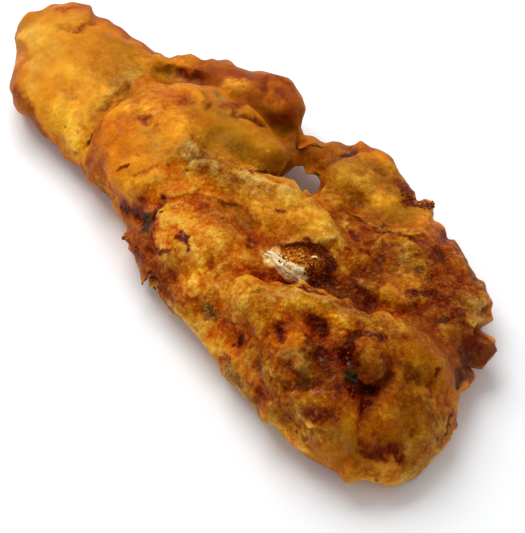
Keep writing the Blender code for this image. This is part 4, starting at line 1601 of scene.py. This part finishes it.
    def share(self, points: Array, path: Array, reach: float) -> tuple[Array, Array]:
        """Distance from a path over its reach, for the points that it can touch.

        The distance is the least over the path's straight stretches: to the foot of the perpendicular, held
        to the stretch's ends.

        Args:
            points: places to measure from.
            path: corners of the path.
            reach: distance that counts as 1.

        Returns:
            Indices of the points within reach, and their shares.
        """
        low, high = path.min(0) - reach, path.max(0) + reach
        near = np.flatnonzero(np.all((points > low) & (points < high), axis=1))
        spots = points[near]
        best = np.linalg.norm(spots - path[0], axis=1)
        for start, end in zip(path[:-1], path[1:]):
            along = end - start
            foot = np.clip((spots - start) @ along / max(along @ along, 1e-12), 0.0, 1.0)
            best = np.minimum(best, np.linalg.norm(spots - start - foot[:, None] * along, axis=1))
        inside = best < reach
        return near[inside], best[inside] / reach

    def laid(self, patches: tuple[Patch, ...], pixels: Array) -> Array:
        """Sum of the patches' amounts, each times its fade over the pixels.

        Args:
            patches: what is laid over the crust.
            pixels: where the points show.

        Returns:
            One amount a point.
        """
        total = np.zeros(len(pixels))
        for patch in patches:
            if patch.form is LEDGE:
                total += patch.amount * self.ledge(pixels, patch)
                continue
            touched, share = self.share(pixels, np.array(patch.path, float), patch.reach)
            total[touched] += patch.amount * patch.form.weight(share)
        return total

    def sculpt(self, shell: ShellMesh) -> ShellMesh:
        """Deepens the main lobes and valleys.

        What faces the lens moves along its own line of sight by the sum of the lobes, whose pixels wander
        with two sizes of noise so that no edge runs straight. The strip behind the gap is then thinned from
        below: what lies under its roof keeps only part of its depth.

        Args:
            shell: the crust before its relief.

        Returns:
            The crust with its lobes.
        """
        pixels, _ = self.camera.pixels(shell.points)
        for size in (4.5, 1.6):
            drift = [NoiseField(61 + axis).waves(shell.points, size * MM) for axis in range(2)]
            pixels = pixels + size * np.stack(drift, axis=1)
        rise = self.laid(LOBES, pixels) * fade(-0.25, 0.2, self.camera.facing(shell))
        points = shell.points - self.camera.sight(shell.points) * (rise * MM)[:, None]
        points = self.melt(shell, points, pixels)
        points[:, 2] = np.maximum(points[:, 2], 0.0)
        strip = np.array(self.strip_path_mm, float)
        touched, share = self.share(points[:, :2] / MM, strip, self.strip_reach_mm)
        under = np.maximum(self.strip_roof_mm * MM - points[touched, 2], 0.0)
        points[touched, 2] += self.strip_share * FIRM.weight(share) * under
        return shell.moved(points)

    def melt(self, shell: ShellMesh, points: Array, pixels: Array) -> Array:
        """Evens out seams that the batter runs over, by moving points to the neighbours' mean many times.

        Args:
            shell: the crust, for its edges.
            points: places of its vertices.
            pixels: where they show.

        Returns:
            The places after it.
        """
        weight = np.clip(self.laid(MELTED, pixels), 0.0, 1.0)
        chosen = weight > 0.0
        index = np.cumsum(chosen) - 1
        part = ShellMesh(points[chosen], index[shell.edges[chosen[shell.edges].all(axis=1)]], shell.mesh)
        even = part.relaxed(part.points, self.melting_rounds)
        points[chosen] += weight[chosen, None] * (even - part.points)
        return points

    def place_marks(self, shell: ShellMesh) -> list[tuple[Mark, Array, float]]:
        """Finds where each mark's pixels meet the crust, or its rim where they pass it by.

        Args:
            shell: the crust before its relief.

        Returns:
            Each mark with its path on the crust and its reach, in metres.
        """
        tree = shell.tree()
        pixels, depth = self.camera.pixels(shell.points)
        placed = []
        for mark in MARKS:
            path = []
            for pixel in mark.path:
                hit, _ = self.camera.cast(tree, pixel)
                rim = np.argmin(np.linalg.norm(pixels - np.array(pixel), axis=1) + 0.05 * depth / MM)
                path.append(shell.points[rim] if hit is None else np.array(hit))
            path = np.array(path)
            placed.append((mark, path, mark.reach * float(self.camera.pixel_size(path).mean())))
        return placed

    def roughness(self, points: Array) -> Array:
        """How rough the batter is: low on the smooth tail, high on the near half, and patchy between.

        Args:
            points: places on the crust.

        Returns:
            A number from 0.06 to 1 for each point.
        """
        along = points[:, 0] / MM
        grit = 0.20 + 0.33 * fade(-48.0, -28.0, along) + 0.30 * fade(-14.0, 12.0, along)
        grit += 0.25 * self.noise.layers(points, 14 * MM, 2)
        return np.clip(grit + self.laid(GRAINY, self.camera.pixels(points)[0]), 0.06, 1.0)

    def relief(self, points: Array) -> Array:
        """Height of the batter over the solid, in metres.

        It adds broad waves, sharp wrinkles, beads where a cell's point is near, flakes that step at the
        cells' edges, grains, and sparse pits, each in millimetres, and the rough ones by the grit.

        Args:
            points: places on the crust.

        Returns:
            One height a point.
        """
        noise, grit = self.noise, self.grit
        loose = noise.warp(points, 3.2 * MM, 0.9 * MM)
        waves = noise.layers(points, self.waves.size_mm * MM, 3) * self.waves.height_mm
        crags = (noise.ridges(loose, self.crags.size_mm * MM) - 0.35) * self.crags.height_mm
        near, second, draw = NoiseField(7).cells(loose, self.beads.size_mm * MM)
        beads = np.clip(1.0 - near / 0.62, 0.0, 1.0) ** 1.5 * self.beads.height_mm * (draw > 0.35) * draw
        flakes = (draw - 0.5) * self.flakes.height_mm * fade(0.0, 0.22, second - near)
        finer = noise.warp(points, 1.1 * MM, 0.3 * MM)
        near, _, draw = NoiseField(19).cells(finer, self.grains.size_mm * MM)
        grains = (np.clip(1.0 - near / 0.7, 0.0, 1.0) - 0.3) * self.grains.height_mm * (0.4 + 0.6 * draw)
        near, _, draw = NoiseField(29).cells(points, self.pits.size_mm * MM)
        pits = -fade(0.17, 0.05, near) * self.pits.height_mm * (draw > 0.75)
        rough = grit ** 1.2
        height = waves * (0.40 + 0.35 * grit) + crags * (0.15 + 0.70 * rough)
        height += rough * (beads + flakes + grains) + pits * (0.25 + 0.75 * rough)
        return height * MM

    def shape(self, piece: bpy.types.Object) -> None:
        """Raises the relief and the marks along the smooth normals, and keeps the sole on the floor.

        Args:
            piece: the crust, which it changes.
        """
        shell = ShellMesh.of(piece.data)
        points = shell.points
        self.placed = self.place_marks(shell)
        self.grit = self.roughness(points)
        self.wander = self.noise.warp(self.noise.warp(points, 2.4 * MM, 0.9 * MM), 0.8 * MM, 0.38 * MM)
        self.patchy = np.clip(0.95 + 1.0 * NoiseField(83).layers(points, 1.1 * MM, 3), 0.35, 1.0)
        height = self.relief(points)
        for mark, path, reach in self.placed:
            if mark.lift:
                touched, share = self.share(self.wander, path, reach)
                depth = 0.75 * fade(3.0, 12.0, np.array(mark.reach)) + 0.08
                lift = 0.75 * depth * mark.lift * MM * mark.form.weight(share)
                height[touched] += lift * self.patchy[touched]
        normals = unit(shell.relaxed(shell.normals(), 3))
        sole = fade(1.2, 0.2, points[:, 2] / MM)
        below = np.minimum(height, 0.25 * MM) - 0.2 * MM
        height = np.where(normals[:, 2] < 0, below, height) * (1.0 - 0.8 * sole)
        points = points + normals * height[:, None]
        points[:, 2] = np.maximum(points[:, 2], 0.02 * MM)
        self.shell = shell.moved(points)

    def stained(self) -> Array:
        """Colour before it browns.

        A slow pattern mixes amber, ochre and russet. The marks then lay their tones on it in turn, some of
        them as painted highlights and painted shade: the colour to the power of one less the weight, times
        the tone to the power of the weight, as layers of glaze mix.

        Returns:
            Linear red, green and blue, one row a vertex.
        """
        slow = self.noise.layers(self.shell.points, 16 * MM, 2)
        colour = np.tile(AMBER.rgb(), (len(slow), 1))
        for tone, share in ((OCHRE, fade(0.0, 0.6, slow)), (RUSSET, fade(-0.1, -0.7, slow))):
            colour += (tone.rgb() - colour) * (0.8 * share)[:, None]
        for mark, path, reach in self.placed:
            touched, share = self.share(self.wander, path, reach)
            weight = np.clip(mark.strength * mark.form.weight(share), 0.0, 1.0)[:, None]
            if mark.reach < self.broad_reach:
                weight *= self.patchy[touched][:, None]
            colour[touched] = colour[touched] ** (1.0 - weight) * mark.tone.rgb() ** weight
        return colour

    def hollows(self) -> list[Array]:
        """How far each vertex lies in under its surroundings.

        Returns:
            Millimetres to the mean of a narrow, a wide and a broad surrounding, along the normal.
        """
        shell, smooth, done = self.shell, self.shell.points, 0
        hollows = []
        for rounds in self.hollow_rounds:
            smooth = shell.relaxed(smooth, rounds - done)
            done = rounds
            hollows.append(dots(smooth - shell.points, shell.normals()) / MM)
        return hollows

    def tinted(self, seams: Array) -> Array:
        """What the colour is multiplied by: tan and ruddy blotches, painted shade that dulls and darkens the
        sides turned from the lens, and ruddy seams.

        Args:
            seams: weight of the thin dark seams.

        Returns:
            Factors of red, green and blue, one row a vertex.
        """
        grit, wander = self.grit, self.wander
        red = NoiseField(97).layers(wander, 4.2 * MM, 4) + 0.5 * NoiseField(98).layers(wander, 1.4 * MM, 2)
        tan = fade(-0.2, -0.9, red)[:, None] * np.array((0.06, 0.20, 0.24))
        ruddy = (fade(0.05, 0.8, red) * (0.20 + 0.80 * grit))[:, None] * np.array((0.06, 0.40, 0.58))
        # Painted shade: the sides turned from the lens are dulled and darkened, as rims in shade are.
        away = fade(0.35, -0.05, self.camera.facing(self.shell))
        crusty = NoiseField(59).layers(wander, 5.0 * MM, 4)
        tan += (away * fade(-0.1, -0.8, crusty))[:, None] * np.array((0.0, 0.14, 0.35))
        far = away * (0.22 + 0.78 * fade(-0.1, 0.8, crusty))
        ruddy += far[:, None] * np.array((0.45, 0.60, 0.60)) * (1.0 - ruddy)
        ruddy += seams[:, None] * np.array((0.14, 0.32, 0.30)) * (1.0 - ruddy)
        return 1.0 + tan - ruddy

    def browned(self) -> tuple[Array, Array]:
        """The crust's final colour and how shiny it is.

        The colour of the marks is multiplied by the tint, which holds painted shade on the sides turned from
        the lens, and by a shade, and raised to a power. Both the shade and the power follow the glaze, which
        is the hollows' depth at three sizes plus the mottling, so hollows darken and crests pale: partly
        browning, and partly painted shade in the hollows and painted light on the crests. Smooth batter
        mostly gets the painted shade and rough batter mostly browns, and dark spots change less. The
        painted-shade patches darken whole parts more, and one of them lightens its part as painted light.

        Returns:
            Linear red, green and blue, one row a vertex, and the oil on it, one number a vertex.
        """
        colour, grit, wander = self.stained(), self.grit, self.wander
        narrow, wide, broad = self.hollows()
        # Painted shade in the hollows and painted light on the crests, together with browning and mottling.
        glaze = np.clip(1.3 * narrow, -0.15, 0.35) + np.clip(0.8 * wide, -0.15, 0.45) * (0.6 + 0.6 * grit)
        glaze += np.clip(0.25 * broad, -0.10, 0.4) * (0.3 + 0.9 * grit)
        mottle = NoiseField(53).layers(wander, 3.4 * MM, 4)
        blush = NoiseField(67).layers(wander, 7.5 * MM, 3)
        glaze += (0.17 + 0.11 * grit) * mottle + 0.12 * blush
        seams = fade(0.50, 0.95, NoiseField(43).ridges(wander, 6.5 * MM, 3)) * grit
        oily = np.clip(glaze + 0.3 + 0.4 * seams, 0.0, 1.2)
        pixels = self.camera.pixels(self.shell.points)[0]
        pale = np.clip(colour[:, 0] / 0.28, 0.2, 1.0)
        glaze = glaze * pale
        rich = 0.15 + 0.75 * fade(0.45, 0.85, grit)
        # Painted shade: neutral darkening of smooth batter's hollows, with the mottling, and of the
        # painted-shade patches; the patch with a negative amount lightens as painted light.
        shade = np.exp(-0.9 * (1.0 - rich) * glaze - self.laid(PAINTED_SHADE, pixels) * pale)[:, None]
        power = np.clip(1.0 + rich * glaze + self.laid(BROWNED, pixels) * pale, 0.6, 2.2)[:, None]
        return np.clip(colour * shade * self.tinted(seams), 0.0, 1.0) ** power, oily

    def build(self) -> bpy.types.Object:
        """Makes the crust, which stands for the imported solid.

        Returns:
            The crust's object.
        """
        piece = self.lay_out()
        self.shape(piece)
        self.colours, oily = self.browned()
        store(piece.data, self.colours, self.grit, oily)
        dress(piece.data, self.finish.build())
        carry(piece)
        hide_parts(NODE)
        return piece


@dataclass
class Crumbs:
    """Crumbs of one kind, held by the crust.

    A crumb is a closed lump: a direction from two angles, times its radius, times a draw for each corner. It
    lies flattened along the crust's normal, and a fifth of its half height lifts its middle off the crust.

    Attributes:
        name: what the piece is called.
        clusters: where the crumbs lie.
        seed: number that fixes the draws.
        spread: how many more lie anywhere on the rough batter.
        spread_mm: least and greatest radius of these.
        around: corners round a crumb.
        rows: rings between its two poles.
        least: least size along, across and up, over the radius.
        most: greatest size along, across and up, over the radius.
        uneven: how far a corner may be off its place, over the radius.
        grit: how rough the finish takes it to be.
        glaze: how shiny the finish takes it to be.
    """

    name: str
    clusters: tuple[Cluster, ...]
    seed: int
    spread: int = 0
    spread_mm: tuple[float, float] = (0.06, 0.15)
    around: int = 6
    rows: int = 3
    least: tuple[float, float, float] = (0.8, 0.6, 0.55)
    most: tuple[float, float, float] = (1.3, 1.0, 0.85)
    uneven: float = 0.22
    grit: float = 0.5
    glaze: float = 0.6

    def lump(self) -> tuple[Array, Faces]:
        """Makes the plain shape of one crumb.

        Returns:
            Unit directions of its corners, the two poles last, and faces as corner numbers.
        """
        turn = np.arange(self.around) * 2.0 * np.pi / self.around
        tilt = (np.arange(self.rows) + 1.0) * np.pi / (self.rows + 1)
        u, v = np.meshgrid(turn, tilt)
        rings = np.stack([np.sin(v) * np.cos(u), np.sin(v) * np.sin(u), np.cos(v)], axis=-1).reshape(-1, 3)
        top, low = len(rings), len(rings) + 1
        last = (self.rows - 1) * self.around
        faces = []
        for i in range(self.around):
            j = (i + 1) % self.around
            faces.append((top, i, j))
            for a in range(0, last, self.around):
                b = a + self.around
                faces.append((a + i, b + i, b + j, a + j))
            faces.append((last + j, last + i, low))
        return np.vstack([rings, [[0, 0, 1.0], [0, 0, -1.0]]]), faces

    def sow(self, crust: Crust) -> tuple[Array, Array, Array]:
        """Chooses the crust's vertices that carry a crumb, from what the lens sees near each cluster's path.

        Args:
            crust: the batter that holds the crumbs.

        Returns:
            Vertex indices, radii in metres and colours.
        """
        draws = np.random.default_rng(self.seed)
        pixels, _ = crust.camera.pixels(crust.shell.points)
        seen = crust.camera.facing(crust.shell) > 0
        spots, radii, colours = [], [], []
        for cluster in self.clusters:
            near, share = crust.share(pixels, np.array(cluster.path, float), cluster.reach)
            chance = np.where(seen[near], 1.0 - share ** 2, 0.0)
            spots.append(draws.choice(near, cluster.count, p=chance / chance.sum()))
            radii.append(draws.uniform(cluster.least_mm, cluster.most_mm, cluster.count))
            colour = crust.colours[spots[-1]] ** 0.86
            tones = [tone.rgb() for tone in cluster.palette.value]
            if tones:
                drawn = np.array(tones)[draws.integers(len(tones), size=cluster.count)]
                colour = crust.colours[spots[-1]] ** 0.3 * drawn ** 0.7
            colours.append(colour)
        if self.spread:
            chance = crust.grit ** 1.5 * (crust.shell.points[:, 2] > 1.0 * MM)
            spots.append(draws.choice(len(chance), self.spread, p=chance / chance.sum()))
            radii.append(draws.uniform(*self.spread_mm, self.spread))
            colours.append(crust.colours[spots[-1]] ** 0.86)
        return np.concatenate(spots), np.concatenate(radii) * MM, np.concatenate(colours)

    def build(self, crust: Crust) -> bpy.types.Object:
        """Makes the piece.

        Args:
            crust: the batter that holds the crumbs.

        Returns:
            The crumbs' object.
        """
        spots, radii, colours = self.sow(crust)
        draws = np.random.default_rng(self.seed + 1)
        lump, faces = self.lump()
        count, corners = len(spots), len(lump)
        up = crust.shell.normals()[spots]
        side = unit(np.cross(up, draws.normal(size=(count, 3))))
        sizes = radii[:, None] * draws.uniform(self.least, self.most, (count, 3))
        local = lump[None] * (1.0 + draws.uniform(-self.uneven, self.uneven, (count, corners, 1)))
        axes = np.stack([side, np.cross(up, side), up], axis=1)
        turned = np.einsum("nkc,ncd->nkd", local * sizes[:, None], axes)
        points = crust.shell.points[spots][:, None] + turned + (0.2 * sizes[:, 2:] * up)[:, None]
        mesh = bpy.data.meshes.new(self.name)
        whole = [tuple(corner + n * corners for corner in face) for n in range(count) for face in faces]
        mesh.from_pydata(points.reshape(-1, 3).tolist(), [], whole)
        colours = np.repeat(colours ** draws.uniform(0.85, 1.15, (count, 1)), corners, axis=0)
        store(mesh, colours, np.full(len(colours), self.grit), np.full(len(colours), self.glaze))
        dress(mesh, CrumbFinish().build())
        return carry(link(self.name, mesh))


@dataclass
class TornMeat:
    """Strands of white meat in the torn spot.

    Each strand is an oval carried along a smooth path on the crust. Its half width is half of the path's
    width times the root of the sine along the path, so that both ends are closed points.

    Attributes:
        lift_mm: height of a strand's middle line over the crust.
        step_mm: how much nearer than the strand's middle a hit may lie. What is nearer hides the meat, and
            the strand runs on under it.
        along: rings of a strand.
        around: corners of a ring.
        thickness: height of the oval over its width.
        ragged: how far a corner may be off the oval, over the half width.
        lumps: waves that the whole meat is raised by.
        seed: number that fixes the first strand's draws.
    """

    lift_mm: float = 0.10
    step_mm: float = 0.8
    along: int = 22
    around: int = 12
    thickness: float = 0.36
    ragged: float = 0.12
    lumps: Bumps = Bumps(1.1, 0.30)
    seed: int = 300

    def middle(self, fibre: Fibre, camera: PhotoCamera, tree: BVHTree) -> tuple[Array, Array]:
        """The smooth line on the crust that a strand runs along.

        Args:
            fibre: the strand.
            camera: the photograph's camera.
            tree: the crust's surface.

        Returns:
            Points of the line in metres, and the crust's unit normal.
        """
        lens = camera.lens()
        corners = np.array(fibre.path, float)
        steps = np.concatenate([[0.0], np.cumsum(np.linalg.norm(np.diff(corners, axis=0), axis=1))])
        reached = np.linspace(0.0, 1.0, self.along) * steps[-1]
        pixels = np.stack([np.interp(reached, steps, corners[:, axis]) for axis in range(2)], axis=1)
        hits = [camera.cast(tree, tuple(pixel)) for pixel in pixels]
        line = np.array([place for place, _ in hits])
        away = np.linalg.norm(line - lens, axis=1)
        line = lens + (line - lens) * (np.maximum(away, np.median(away) - self.step_mm * MM) / away)[:, None]
        kernel = np.array([0.25, 0.5, 0.25])
        for _ in range(4):
            inner = np.stack([np.convolve(line[:, axis], kernel, "valid") for axis in range(3)], axis=1)
            line = np.vstack([line[:1], inner, line[-1:]])
        up = np.array([normal for _, normal in hits]).mean(axis=0)
        return line, up / np.linalg.norm(up)

    def strand(self, line: Array, up: Array, half: Array, draws: np.random.Generator) -> tuple[Array, Faces]:
        """Points and faces of one strand.

        Args:
            line: its middle line, in metres.
            up: unit direction away from the crust.
            half: half of its width at each point of the line, in metres.
            draws: what its unevenness is drawn from.

        Returns:
            Points in metres, and faces as corner numbers.
        """
        side = unit(np.cross(unit(np.gradient(line, axis=0)), up))
        turn = np.arange(self.around) * 2.0 * np.pi / self.around
        ragged = 1.0 + self.ragged * draws.normal(size=(self.along, self.around))
        across = (half[:, None] * np.cos(turn) * ragged)[..., None] * side[:, None]
        height = self.thickness * half[:, None] * np.sin(turn) * ragged + self.lift_mm * MM
        points = (line[:, None] + across + height[..., None] * up).reshape(-1, 3)
        lumps = NoiseField(71).layers(points, self.lumps.size_mm * MM, 2)
        points += (self.lumps.height_mm * MM * lumps)[:, None] * up
        k = self.around
        faces = [(r * k + i, r * k + (i + 1) % k, (r + 1) * k + (i + 1) % k, (r + 1) * k + i)
                 for r in range(self.along - 1) for i in range(k)]
        faces += [tuple(range(k))[::-1], tuple((self.along - 1) * k + i for i in range(k))]
        return points, faces

    def build(self, crust: Crust) -> bpy.types.Object:
        """Makes the piece.

        Args:
            crust: the batter round the torn spot.

        Returns:
            The meat's object.
        """
        camera, tree = crust.camera, crust.shell.tree()
        swell = np.sqrt(np.sin(np.pi * np.clip(np.linspace(0.0, 1.0, self.along), 0.004, 0.996)))
        points, faces = [], []
        for number, fibre in enumerate(FIBRES):
            line, up = self.middle(fibre, camera, tree)
            half = fibre.width / 2.0 * camera.pixel_size(line) * swell
            own, ring = self.strand(line, up, half, np.random.default_rng(self.seed + number))
            faces += [tuple(corner + sum(map(len, points)) for corner in face) for face in ring]
            points.append(own)
        mesh = bpy.data.meshes.new("torn_meat")
        mesh.from_pydata(np.vstack(points).tolist(), [], faces)
        shape = bmesh.new()
        shape.from_mesh(mesh)
        bmesh.ops.recalc_face_normals(shape, faces=shape.faces)
        shape.to_mesh(mesh)
        shape.free()
        dress(mesh, MeatFinish().build())
        return carry(link("torn_meat", mesh))


@dataclass(frozen=True)
class Studio:
    """White floor, one large soft light above and behind, and even white surroundings.

    Attributes:
        floor_half: half of the floor's side, in metres.
        sky: strength of the surroundings.
        key_power: watts of the large light.
        key_place: its place, in metres.
        key_side: edge of its square, in metres.
    """

    floor_half: float = 1.5
    sky: float = 0.58
    key_power: float = 3.8
    key_place: tuple[float, float, float] = (-0.34, 0.03, 0.54)
    key_side: float = 0.50

    def floor(self) -> None:
        """Makes the floor, a flat square under the tender."""
        half = self.floor_half
        corners = [(-half, -half, 0.0), (half, -half, 0.0), (half, half, 0.0), (-half, half, 0.0)]
        mesh = bpy.data.meshes.new("floor")
        mesh.from_pydata(corners, [], [(0, 1, 2, 3)])
        mesh.materials.append(FloorFinish().build())
        link("floor", mesh)

    def surroundings(self) -> None:
        """Makes the even white world."""
        world = bpy.data.worlds.new("white_room")
        world.use_nodes = True
        background = world.node_tree.nodes["Background"].inputs
        background["Color"].default_value = (1.0, 1.0, 1.0, 1.0)
        background["Strength"].default_value = self.sky
        bpy.context.scene.world = world

    def key_light(self) -> None:
        """Makes the large soft light, turned towards the tender."""
        data = bpy.data.lights.new("key_light", "AREA")
        data.size = self.key_side
        data.energy = self.key_power
        light = link("key_light", data)
        light.location = self.key_place
        light.rotation_euler = Vector(self.key_place).to_track_quat("Z", "Y").to_euler()

    def build(self) -> None:
        """Makes the whole studio."""
        self.floor()
        self.surroundings()
        self.key_light()
        bpy.context.scene.view_settings.view_transform = "Standard"


def report(piece: bpy.types.Object) -> None:
    """Logs a piece's name and its number of faces."""
    LOG.info("%s: %d faces", piece.name, len(piece.data.polygons))


def main() -> None:
    """Builds the tender's pieces, the studio and the camera, in that order."""
    logging.basicConfig(level=logging.INFO, format="%(message)s")
    camera = PhotoCamera()
    crust = Crust(camera)
    report(crust.build())
    report(TornMeat().build(crust))
    report(Crumbs("dark_crumbs", DARK_CLUSTERS, 5).build(crust))
    report(Crumbs("gold_crumbs", LIGHT_CLUSTERS, 6, spread=400).build(crust))
    Studio().build()
    camera.build()


if __name__ == "__main__":
    main()
